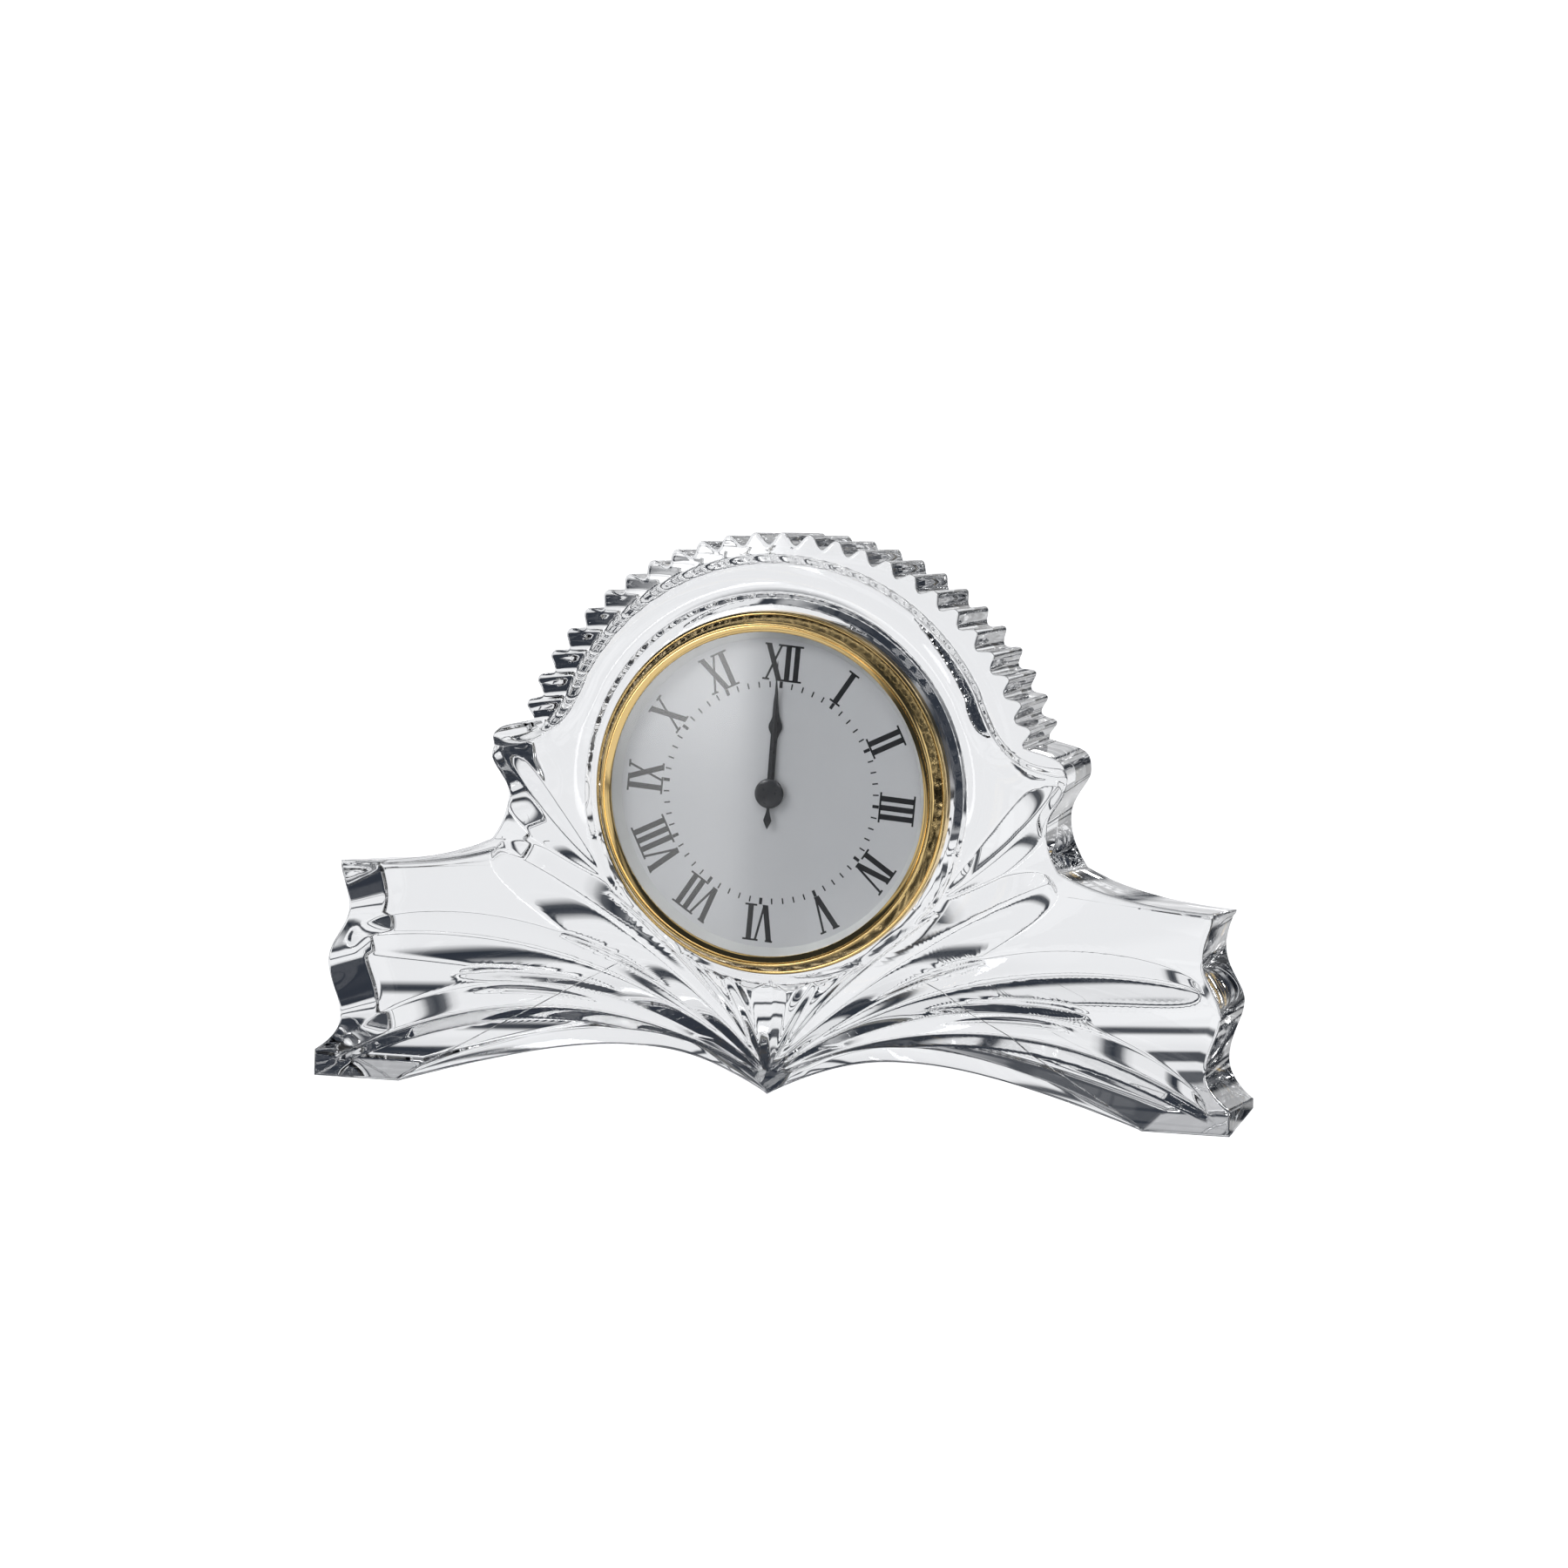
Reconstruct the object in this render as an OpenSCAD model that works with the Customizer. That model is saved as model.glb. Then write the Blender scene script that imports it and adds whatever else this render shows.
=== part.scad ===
// Pressed crystal desk clock with a round quartz insert.
// Everything is drawn in the clock's face frame (X right, Y into the clock, Z up the face, origin at the
// dial centre on the front of the crystal) and then leant back by stand() onto its two feet.

/* [Crystal] */
// Width across the two feet
crystal_w = 225; // [218:1:236]
// Thickness of the crystal from front to back
crystal_t = 34.4; // [32:0.2:40]
// Draft of every side wall, which is also how far the clock leans back
draft_angle = 4.6; // [3:0.1:5.5]
// Distance from the dial centre down to the feet, along the face
foot_drop = 74.6; // [74:0.2:78]
// Width of each foot
foot_w = 21.2; // [18:0.2:24]
// Height of the foot's block at the end of the wing
foot_h = 6.4; // [5.5:0.1:7.5]
// How far the middle of the underside hangs above the feet
middle_lift = 2.8; // [2:0.1:4]
// Pull of the two arches of the underside
arch_pull = 14.1; // [12:0.1:15]
// Width of the bevel along the front of the arches
arch_bevel_w = 4.2; // [3:0.1:5]
// Depth of that bevel
arch_bevel_d = 2.2; // [1.5:0.1:3]
// Softness of the other front edges
edge_soft = 0.7; // [0.5:0.1:0.8]
// Bore through the crystal for the insert
bore_d = 78; // [77.6:0.1:78.4]

/* [Dome] */
// Radius over the tips of the dome's teeth
tip_r = 65.4; // [65:0.1:67]
// Depth of the notches between teeth
tooth_h = 2.8; // [2:0.1:3.2]
// Teeth on each side of the middle one
teeth_side = 12; // [10:1:13]
// Height of the middle of the teeth's circle below the dial centre
dome_drop = 4.3; // [3.6:0.1:5]
// Radius of the line where the toothed rim steps down
rim_line_r = 55.7; // [55:0.1:57]
// How far the toothed rim lies behind the front
rim_step = 1.4; // [0.8:0.1:2]
// Radius of the middle of the groove round the bezel
groove_r = 46.4; // [46:0.1:47]
// Half width of that groove
groove_half_w = 1.5; // [1:0.1:1.8]

/* [Leaves] */
// Depth of the long leaf cuts
leaf_deep = 3.0; // [2:0.1:4]
// Depth of the short leaf cuts
short_deep = 1.6; // [1:0.1:2]
// Steps along each leaf cut
leaf_steps = 12; // [8:1:14]

/* [Insert] */
// Diameter over the bezel
bezel_d = 85.7; // [85.2:0.1:86.4]
// How far the bezel's ridge stands in front of the crystal
bezel_proud = 7.7; // [7.4:0.1:8.2]
// Diameter of the bezel's ridge
ridge_d = 80.5; // [80.2:0.1:81]
// Diameter of the bezel's inner edge
bezel_in_d = 76.4; // [76:0.1:76.8]
// Diameter of the lens
lens_d = 79; // [78.7:0.1:79.4]
// Thickness of the lens
lens_t = 0.8; // [0.7:0.05:0.9]
// Thickness of the dial plate
dial_t = 0.4; // [0.3:0.05:0.5]
// Distance from the back of the lens to the dial
hand_room = 2.7; // [2.6:0.05:3]
// Outer diameter of the insert's can
can_d = 72.4; // [72:0.1:73]
// Wall of the can
can_wall = 1.6; // [1.4:0.1:1.8]
// Depth of the can behind the front of the crystal
can_depth = 20.6; // [20.2:0.2:23]
// Turn of the whole insert in its bore, clockwise
insert_turn = 3.9; // [-6:0.1:6]
// Running clearance between the grip ring and the bore
grip_gap = 0.08; // [0.05:0.01:0.1]

/* [Hands] */
// Length of the hour hand from the centre
hour_len = 24; // [20:0.5:25]
// Length of the minute hand from the centre
minute_len = 26.4; // [25:0.2:32]
// Length of the seconds hand from the centre
seconds_len = 31.5; // [30:0.5:33]
// Length of the seconds hand's tail
tail_len = 8.5; // [7:0.5:10]
// Diameter of the domed cap
cap_d = 7; // [6:0.2:8]
// Thickness of the hands
hand_t = 0.2; // [0.15:0.01:0.25]
// Hour hand's place before twelve
hour_at = -1.0; // [-180:0.5:180]
// Minute hand's place before twelve
minute_at = -1.5; // [-180:0.5:180]
// Seconds hand's place before twelve
seconds_at = -1.6; // [-180:0.1:180]

/* [Movement] */
// Thickness of the two movement plates
plate_t = 1.2; // [1:0.1:1.3]
// Diameter of the cell
cell_d = 12; // [11.8:0.1:12]
// Length of the cell
cell_l = 30.2; // [29:0.1:31]
// Diameter of the setting knob
knob_d = 10; // [8:0.5:11]
// Radius of a plain arbor
arbor_r = 0.35; // [0.3:0.01:0.38]
// Running clearance round arbors
run_gap = 0.05; // [0.03:0.01:0.08]

/* [Hidden] */
$fn = 96;

lean = draft_angle;
draw_in = crystal_t * tan(draft_angle);
bore_r = bore_d / 2;
half_w = crystal_w / 2;
z_foot = -foot_drop;
edge_back = 0.8;

// Stack of the insert, front to back
bezel_r = bezel_d / 2;
ridge_r = ridge_d / 2;
bezel_in_r = bezel_in_d / 2;
y_seat = -0.05;
y_bezel = -bezel_proud;
lip_fall = 0.8;
y_lens = y_bezel + lip_fall + 0.4;
y_lens_back = y_lens + lens_t;
y_dial = y_lens_back + hand_room;
y_dial_back = y_dial + dial_t;
can_r = can_d / 2;
can_in_r = can_r - can_wall;
collar_r = bore_r - 0.4;
dial_r = collar_r - 0.6;
y_collar = 3;
y_plate = y_collar + 1.4;
y_plate_back = y_plate + plate_t;

// Hands, counted forward from the dial
y_hour = y_dial - 0.45;
y_minute = y_hour - 0.5;
y_seconds = y_minute - 0.5;
hub_r = 2.9;

// Layers of the going train, counted back from the front plate
y_a = y_plate_back + 0.4;
y_b = y_a + 1.1;
y_c = y_b + 1.3;
y_d = y_c + 1.0;
y_e = y_d + 1.1;
y_f = y_e + 1.0;
face_a = 0.8;
face_b = 1.0;
face_c = 0.7;
y_bridge = y_f + 2.9;
y_bridge_back = y_bridge + plate_t;
y_cover = can_depth - 1.2;

// Teeth and modules of the train
canon_n = 12;
reverse_n = 36;
reverse_pin_n = 10;
hour_n = 40;
motion_c = 12;
canon_m = 2 * motion_c / (canon_n + reverse_n);
hour_m = 2 * motion_c / (reverse_pin_n + hour_n);
knob_n = 12;
seconds_pin_n = 8;
third_n = 60;
third_pin_n = 8;
minute_n = 64;
third_c = 12.24;
third_m = 2 * third_c / (seconds_pin_n + third_n);
minute_m = 2 * third_c / (third_pin_n + minute_n);
seconds_n = 40;
step_pin_n = 8;
step_c = 12;
seconds_m = 2 * step_c / (seconds_n + step_pin_n);
step_n = 48;
rotor_n = 8;
rotor_c = 8.4;
rotor_m = 2 * rotor_c / (step_n + rotor_n);
reverse_dir = 40;
third_dir = 110;
step_dir = 200;
rotor_dir = 200;
knob_dir = 20;
function along(c, dir) = [c * cos(dir), c * sin(dir)];
reverse_at = along(motion_c, reverse_dir);
third_at = along(third_c, third_dir);
step_at = along(step_c, step_dir);
rotor_at = step_at + along(rotor_c, rotor_dir);
knob_c = canon_m * (reverse_n + knob_n) / 2;
knob_at = reverse_at + along(knob_c, knob_dir);

// Tubes and arbors on the centre
bush_r = 3.0;
bush_in_r = 2.25;
hour_tube_r = bush_in_r - run_gap;
hour_tube_in = 1.6;
minute_tube_r = hour_tube_in - run_gap;
minute_tube_in = 0.85;
seconds_arbor_r = minute_tube_in - run_gap;
magnet_r = 3.0;
cell_z = -21.4;
cell_y = can_depth - 1.6 - cell_d / 2;
door_w = cell_l + 2.4;
door_h = cell_d + 1.6;
cover_wall = 1.0;
over_cell = cell_z + door_h / 2 + cover_wall + 0.3;
pillar_r = 2.0;
pillar_at = can_in_r - 6;
pillar_dirs = [90, -16.5, 115];
board_w = 15;
board_h = 16;
board_x = can_in_r - board_w - 6.1;
coil_x = -27;
coil_r = 2.6;
coil_half = 8.5;
y_core = y_f + 1.5;

// Curves
function bez2(a, b, c, t) = a * (1 - t) * (1 - t) + b * 2 * t * (1 - t) + c * t * t;
function bez3(a, b, c, d, t) =
    a * pow(1 - t, 3) + b * 3 * t * pow(1 - t, 2) + c * 3 * t * t * (1 - t) + d * pow(t, 3);
function ease(a, b, t) = [a.x + (b.x - a.x) * (1 - cos(180 * t)) / 2, a.y + (b.y - a.y) * t];
function flare(a, b, t) = [a.x + (b.x - a.x) * t * t, a.y + (b.y - a.y) * t];

// Named points of the right half of the front outline
middle = [0, z_foot + middle_lift];
foot_in = [half_w - foot_w, z_foot];
foot_out = [half_w, z_foot];
foot_top = [half_w, z_foot + foot_h];
low_in = [half_w - 6.2, -60];
end_out = [half_w - 2.9, -46.5];
high_in = [half_w - 7.8, -33.5];
wing_corner = [half_w - 5.5, -22.5];
junction = [69.5, -15.1];
waist = [66, -5.3];
shoulder = [70.5, 5.5];
tooth_pitch = 146.6 / (2 * teeth_side + 1);
function dome(phi, r) = [r * sin(phi), r * cos(phi) - dome_drop];
function tooth_r(phi) = tip_r - tooth_h * (1 - cos(360 * phi / tooth_pitch)) / 2;
dome_end = (teeth_side + 0.5) * tooth_pitch;
tooth_steps = 8;
dome_steps = (teeth_side + 0.5) * tooth_steps;
right_half = concat(
    [for (i = [0:14]) bez3(middle, [26, middle.y + arch_pull], [45, z_foot + arch_pull], foot_in, i / 15)],
    [foot_in, foot_out],
    [for (i = [0:5]) flare(low_in, foot_top, 1 - i / 6)],
    [for (i = [0:7]) ease(low_in, end_out, i / 8)],
    [for (i = [0:7]) ease(end_out, high_in, i / 8)],
    [for (i = [0:5]) ease(high_in, wing_corner, i / 6)],
    [for (i = [0:7]) bez2(wing_corner, [83, -21.8], junction, i / 8)],
    [for (i = [0:4]) flare(waist, junction, 1 - i / 5)],
    [for (i = [0:6]) ease(waist, shoulder, i / 7)],
    [for (i = [0:5]) bez3(shoulder, shoulder + [0, 6.5], shoulder + [-2, 6], dome(dome_end, tip_r - tooth_h), i / 6)],
    [for (i = [0:dome_steps]) dome(dome_end - i * tooth_pitch / tooth_steps,
                                   tooth_r(dome_end - i * tooth_pitch / tooth_steps))]);
half_n = len(right_half);
outline = concat(right_half, [for (i = [half_n - 2:-1:1]) [-right_half[i].x, right_half[i].y]]);
edge_n = len(outline);

// Inward shift of each outline point that moves both its edges by one
function unit(v) = v / norm(v);
function edge_in(i) = let (d = unit(outline[(i + 1) % edge_n] - outline[i % edge_n])) [-d.y, d.x];
inward = [for (i = [0:edge_n - 1])
    let (a = edge_in(i + edge_n - 1), b = edge_in(i)) (a + b) / max(0.6, 1 + a * b)];
// Share of the arch's bevel at a point of the outline: full in the arch, none past the foot
function arch_share(p) = p.y > z_foot + 16 ? 0 : pow(max(0, sin(180 * min(1, abs(p.x) / foot_in.x))), 0.5);
function bevel_w(p) = edge_soft + (arch_bevel_w - edge_soft) * arch_share(p);
function bevel_d(p) = edge_soft + (arch_bevel_d - edge_soft) * arch_share(p);
// Depth at which the plain wall starts, as far behind the rim's step as the edge lies before it
function wall_d(p) = bevel_d(p) + 2 * (rim_step - edge_soft);
function ring(shift, depth) = [for (i = [0:edge_n - 1])
    let (q = outline[i] + inward[i] * shift(outline[i])) [q.x, depth(outline[i]), q.y]];

module stand() {
    translate([0, y_home, foot_drop * cos(lean)]) rotate([-lean, 0, 0]) children();
}
// Puts the middle of the leaning clock's depth on the origin
front_y = y_bezel * cos(lean) - ridge_r * sin(lean);
back_y = crystal_t * cos(lean) + (tip_r - dome_drop - draw_in - edge_back) * sin(lean);
y_home = -(front_y + back_y) / 2;

module in_clock() {
    stand() rotate([0, insert_turn, 0]) children();
}

// Solid of revolution round the dial's axis from a [radius, depth] profile
module turned(profile) {
    rotate([-90, 0, 0]) rotate_extrude() polygon(profile);
}

// Straight pin or disc on the dial's axis, shifted to a place on the face
module disc(r, y0, y1, at = [0, 0]) {
    translate([at.x, y0, at.y]) rotate([-90, 0, 0]) cylinder(r = r, h = y1 - y0);
}

// Plate of a flat outline drawn as seen from the front
module slab(y0, y1) {
    translate([0, y1, 0]) rotate([90, 0, 0]) linear_extrude(y1 - y0) children();
}

module crystal_blank() {
    r0 = ring(function(p) bevel_w(p), function(p) 0);
    r1 = ring(function(p) bevel_d(p) * tan(draft_angle), function(p) bevel_d(p));
    r2 = ring(function(p) wall_d(p) * tan(draft_angle), function(p) wall_d(p));
    r3 = ring(function(p) (crystal_t - edge_back) * tan(draft_angle), function(p) crystal_t - edge_back);
    r4 = ring(function(p) draw_in + edge_back, function(p) crystal_t);
    n = edge_n;
    polyhedron(points = concat(r0, r1, r2, r3, r4), faces = concat(
        [[for (i = [n - 1:-1:0]) i]],
        [[for (i = [0:n - 1]) 4 * n + i]],
        [for (k = [0:3], i = [0:n - 1]) [k * n + i, k * n + (i + 1) % n, (k + 1) * n + i]],
        [for (k = [0:3], i = [0:n - 1])
            [k * n + (i + 1) % n, (k + 1) * n + (i + 1) % n, (k + 1) * n + i]]));
}

// Place on a leaf's crease, bowed to the left of the line from a to b, and the share of its full width
function crease(a, b, bow, t) = a + (b - a) * t + [a.y - b.y, b.x - a.x] / norm(b - a) * bow * 4 * t * (1 - t);
function across(a, b, bow, t) = let (d = unit(crease(a, b, bow, t + 0.01) - crease(a, b, bow, t - 0.01)))
    [-d.y, d.x];
function swell(t) = t <= 0 || t >= 1 ? -0.02 : pow(t, 0.8) * pow(1 - t, 0.4) / 0.4655;

// Mitre cut with a V section, pointed at both ends: left and right are its half widths at the face
module leaf(a, b, bow, left, right, deep) {
    above = 1;
    n = leaf_steps;
    pts = [for (i = [0:n]) let (t = i / n, p = crease(a, b, bow, t), s = across(a, b, bow, t),
                               d = deep * swell(t), w = (d + above) / deep)
        each [[p.x + s.x * left * w, -above, p.y + s.y * left * w], [p.x, d, p.y],
              [p.x - s.x * right * w, -above, p.y - s.y * right * w]]];
    polyhedron(points = pts, faces = concat(
        [[0, 2, 1]], [[3 * n, 3 * n + 1, 3 * n + 2]],
        [for (i = [0:n - 1], k = [0:2]) [3 * i + k, 3 * i + (k + 1) % 3, 3 * i + 3 + k]],
        [for (i = [0:n - 1], k = [0:2]) [3 * i + (k + 1) % 3, 3 * i + 3 + (k + 1) % 3, 3 * i + 3 + k]]));
}

root = [0, z_foot + 8.4];
star = [junction.x - 1.2, junction.y - 2.3];
shoulder_star = [shoulder.x - 1.6, 6.4];

// Start of a leaf that points away from the root, a given distance from it
function rooted(tip, away) = root + unit(tip - root) * away;

// Leaves of the right half, drawn from the root or the shoulder
module right_leaves() {
    leaf(rooted(star, 1.3), star, 4, 7, 8, leaf_deep);
    leaf(rooted([half_w - 8, -40.7], 2.1), [half_w - 8, -40.7], 11, 5.7, 6.2, leaf_deep);
    leaf(rooted([half_w - 5.6, z_foot + 5], 3.2), [half_w - 5.6, z_foot + 5], 13.4, 5.8, 2.6, leaf_deep);
    leaf([18, -56.3], [77.2, -47.9], 4.6, 1.6, 2.2, short_deep);
    leaf([22, -58.4], [75.7, -52.4], 3.8, 1.6, 1.8, short_deep);
    leaf(rooted([21.5, -39.6], 6), [21.5, -39.6], 1.6, 2.6, 2.6, short_deep);
    leaf(rooted([11, -43.6], 4), [11, -43.6], 0.8, 2.0, 2.4, short_deep);
    leaf([42, -22.4], shoulder_star, -2, 5, 5, leaf_deep);
    leaf([54, 8.6], shoulder_star + [0, 0.8], 0, 1.4, 1.2, short_deep);
}

// Region of the toothed rim, outside the line that sweeps from the dome out to the shoulders
module rim_region() {
    sweep_from = dome(62, 0) + [rim_line_r * sin(62), rim_line_r * cos(62) + dome_drop];
    line = concat(
        [for (phi = [0:4:62]) [rim_line_r * sin(phi), rim_line_r * cos(phi)]],
        [for (i = [1:8]) bez3(sweep_from, [53.6, 14], [58, 9.4], shoulder_star + [0, 2.6], i / 8)],
        [shoulder_star + [8, 2.6], [90, 80], [0, 80]]);
    polygon(line);
    mirror([1, 0]) polygon(line);
}

// Pressed body with all its cuts, before the bore; resize() brings its soft corners back to the full width
module cast() {
    difference() {
        crystal_blank();
        right_leaves();
        mirror([1, 0, 0]) right_leaves();
        leaf([0, -66.2], [0, -44.6], 0, 4.2, 4.2, leaf_deep * 0.8);
        slab(-1, rim_step) rim_region();
        turned([[groove_r - groove_half_w, -0.01], [groove_r, groove_half_w * 0.8],
                [groove_r + groove_half_w, -0.01]]);
    }
}

module crystal() {
    color("aliceblue", 0.45) stand() difference() {
        resize([crystal_w, 0, 0]) cast();
        disc(bore_r, -1, crystal_t + 1);
    }
}

// Ribbed ring that grips the bore
module grip_ring() {
    fin_r = bore_r - grip_gap;
    y0 = y_collar + 0.3;
    fin = 1.1;
    fin_pitch = 3.2;
    band_r = can_r + 1;
    y1 = y0 + 4 * fin_pitch + 0.4;
    color("dimgray") in_clock() turned(concat(
        [[can_r, y0], [band_r, y0]],
        [for (k = [0:3]) let (y = y0 + 0.8 + k * fin_pitch)
            each [[band_r, y], [fin_r, y + 0.5], [fin_r, y + 0.5 + fin], [band_r, y + 1 + fin]]],
        [[band_r, y1], [can_r, y1]]));
}

// Can that carries the whole insert: flange under the bezel, collar for the dial, long wall round the movement
module can() {
    flange_r = bezel_r - 1.2;
    color("gainsboro") in_clock() turned([
        [can_in_r, y_plate], [can_in_r - 2.5, y_plate], [can_in_r - 2.5, y_dial_back],
        [dial_r, y_dial_back], [dial_r, y_seat - 1.2], [flange_r, y_seat - 1.2], [flange_r, y_seat],
        [collar_r, y_seat], [collar_r, y_collar], [can_r, y_collar], [can_r, can_depth],
        [can_in_r, can_depth]]);
}

// Polished bezel: a base band, a fine step, a curved flank up to the ridge, and a slope down to the lens
module bezel() {
    band_y = y_bezel * 0.56;
    step = 0.25;
    flank_r = bezel_r - 0.4;
    flank = [for (t = [0:0.125:1])
        bez2([flank_r - step, band_y], [flank_r - step - 0.3, y_bezel + 0.7], [ridge_r + 0.15, y_bezel], t)];
    color("gold") in_clock() turned(concat(
        [[bezel_r, y_seat], [bezel_r, band_y + 0.9], [flank_r, band_y + 0.1], [flank_r - step, band_y + 0.1]],
        flank,
        [[ridge_r - 0.15, y_bezel + 0.02], [bezel_in_r, y_bezel + lip_fall], [bezel_in_r, y_lens],
         [lens_d / 2, y_lens], [lens_d / 2, y_seat - 1.2],
         [bezel_r - 1.2, y_seat - 1.2], [bezel_r - 1.2, y_seat]]));
}

module lens() {
    color("white", 0.3) in_clock() disc(lens_d / 2, y_lens, y_lens_back);
}

// Slanted ring between the lens and the dial
module rehaut() {
    color("silver") in_clock() turned([
        [lens_d / 2 - 0.1, y_lens_back], [bezel_in_r, y_lens_back], [dial_r - 1.5, y_dial - 0.1],
        [dial_r - 1.5, y_dial], [dial_r + 0.1, y_dial], [dial_r + 0.1, y_seat - 1.3],
        [lens_d / 2 - 0.1, y_seat - 1.3]]);
}

module dial() {
    color("whitesmoke") in_clock() difference() {
        disc(dial_r, y_dial, y_dial_back);
        disc(bush_r, y_dial - 1, y_dial_back + 1);
    }
}

// Flat hand turned to its place: the blade is the child, hub its ring and hole what it is pressed on
module hand(y, at, hub, hole) {
    in_clock() rotate([0, at, 0]) difference() {
        union() {
            disc(hub, y - hand_t, y);
            slab(y - hand_t, y) children();
        }
        disc(hole, y - hand_t - 1, y + 1);
    }
}

module hour_hand() {
    bulge = hour_len * 0.66;
    color("black") hand(y_hour, hour_at, hub_r, hour_tube_r)
        polygon([[-0.75, 0], [-0.65, bulge - 3], [-1.7, bulge - 0.6], [-1.5, bulge + 0.6], [-0.6, bulge + 3],
                 [0, hour_len], [0.6, bulge + 3], [1.5, bulge + 0.6], [1.7, bulge - 0.6],
                 [0.65, bulge - 3], [0.75, 0]]);
}

module minute_hand() {
    color("black") hand(y_minute, minute_at, hub_r - 0.3, minute_tube_r)
        polygon([[-0.85, 0], [-0.6, minute_len - 5], [0, minute_len], [0.6, minute_len - 5], [0.85, 0]]);
}

// Needle with a pointed diamond on its tail and a domed cap over the centre
module seconds_hand() {
    widest = tail_len - 2.1;
    cap_h = 0.75;
    color("black") {
        hand(y_seconds, seconds_at, cap_d / 2 - 0.2, seconds_arbor_r)
            polygon([[-0.38, 0], [-0.15, seconds_len - 1], [0, seconds_len], [0.15, seconds_len - 1], [0.38, 0],
                     [0.35, -tail_len + 4.5], [1, -widest], [0, -tail_len], [-1, -widest],
                     [-0.35, -tail_len + 4.5]]);
        in_clock() turned([[seconds_arbor_r, y_seconds], [cap_d / 2, y_seconds],
            [cap_d / 2, y_seconds - hand_t], [cap_d / 2 - 0.5, y_seconds - hand_t - cap_h * 0.5],
            [cap_d / 2 - 1.4, y_seconds - hand_t - cap_h * 0.85], [0, y_seconds - hand_t - cap_h],
            [0, y_seconds - hand_t], [seconds_arbor_r, y_seconds - hand_t]]);
    }
}

// Turn that puts gear b in mesh with gear a, which is turned by turn_a, when b lies in direction dir from a
function mesh(turn_a, n_a, n_b, dir) = dir + 180 + (dir - turn_a) * n_a / n_b + 180 / n_b;

// Gear outline of n straight-flanked teeth with a tooth at angle turn
module gear(n, m, turn) {
    root_r = m * (n / 2 - 1.15);
    out_r = m * (n / 2 + 0.8);
    p = 360 / n;
    polygon([for (i = [0:n - 1]) each [
        root_r * [cos(turn + (i - 0.27) * p), sin(turn + (i - 0.27) * p)],
        out_r * [cos(turn + (i - 0.11) * p), sin(turn + (i - 0.11) * p)],
        out_r * [cos(turn + (i + 0.11) * p), sin(turn + (i + 0.11) * p)],
        root_r * [cos(turn + (i + 0.27) * p), sin(turn + (i + 0.27) * p)]]]);
}

// Gear with a round hole, at a place on the face and between two depths
module wheel(n, m, turn, at, y0, y1, hole = 0) {
    translate([at.x, 0, at.y]) slab(y0, y1) difference() {
        gear(n, m, turn);
        if (hole > 0) circle(r = hole);
    }
}

// Turns of the train, each in mesh with the one before
canon_turn = reverse_dir;
reverse_turn = mesh(canon_turn, canon_n, reverse_n, reverse_dir);
knob_turn = mesh(reverse_turn, reverse_n, knob_n, knob_dir);
reverse_pin_turn = reverse_dir + 180;
hour_turn = mesh(reverse_pin_turn, reverse_pin_n, hour_n, reverse_dir + 180);
third_pin_turn = third_dir + 180;
minute_turn = mesh(third_pin_turn, third_pin_n, minute_n, third_dir + 180);
seconds_pin_turn = third_dir;
third_turn = mesh(seconds_pin_turn, seconds_pin_n, third_n, third_dir);
step_pin_turn = step_dir + 180;
seconds_turn = mesh(step_pin_turn, step_pin_n, seconds_n, step_dir + 180);
rotor_turn = rotor_dir + 180;
step_turn = mesh(rotor_turn, rotor_n, step_n, rotor_dir + 180);

// Rear of each front pivot hole and front of each rear one
pivot_front = y_plate + 0.2;
pivot_back = y_bridge_back - 0.2;

module front_plate() {
    post_r = 0.8;
    color("ivory") in_clock() difference() {
        union() {
            disc(can_in_r - 0.05, y_plate, y_plate_back);
            disc(bush_r, y_dial - 0.2, y_plate);
            disc(post_r, y_plate_back, y_c - 0.1, reverse_at);
        }
        disc(bush_in_r, y_dial - 1, y_plate_back + 1);
        for (p = [third_at, step_at, rotor_at, knob_at]) disc(arbor_r + run_gap, y_plate - 1, y_plate_back + 1, p);
    }
}

module bridge() {
    color("ivory") in_clock() difference() {
        union() {
            intersection() {
                disc(can_in_r - 0.5, y_bridge, y_bridge_back);
                translate([-can_r, y_bridge - 1, over_cell]) cube([can_d, plate_t + 2, can_d]);
            }
            for (a = pillar_dirs) disc(pillar_r, y_plate_back, y_bridge, along(pillar_at, a));
        }
        for (p = [third_at, step_at, rotor_at, [0, 0]]) disc(arbor_r + run_gap, y_bridge - 1, y_bridge_back + 1, p);
        disc(arbor_r + 1.6, y_bridge - 1, y_bridge_back + 1, knob_at);
        translate([coil_x - coil_r - 1, y_bridge - 1, -coil_half - 3])
            cube([2 * coil_r + 2, plate_t + 2, 2 * coil_half + 6]);
    }
}

module hour_wheel() {
    color("white") in_clock() difference() {
        union() {
            wheel(hour_n, hour_m, hour_turn, [0, 0], y_a, y_a + face_a);
            disc(hour_tube_r, y_hour - hand_t, y_a + face_a);
        }
        disc(hour_tube_in, y_hour - 1, y_a + face_a + 1);
    }
}

module reversing_wheel() {
    hole = 0.8 + run_gap;
    color("white") in_clock() {
        wheel(reverse_pin_n, hour_m, reverse_pin_turn, reverse_at, y_a, y_b, hole);
        wheel(reverse_n, canon_m, reverse_turn, reverse_at, y_b, y_b + face_b, hole);
    }
}

module minute_wheel() {
    color("white") in_clock() difference() {
        union() {
            wheel(canon_n, canon_m, canon_turn, [0, 0], y_b, y_c);
            wheel(minute_n, minute_m, minute_turn, [0, 0], y_c, y_c + face_c);
            disc(minute_tube_r, y_minute - hand_t, y_b);
        }
        disc(minute_tube_in, y_minute - 1, y_c + face_c + 1);
    }
}

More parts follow.
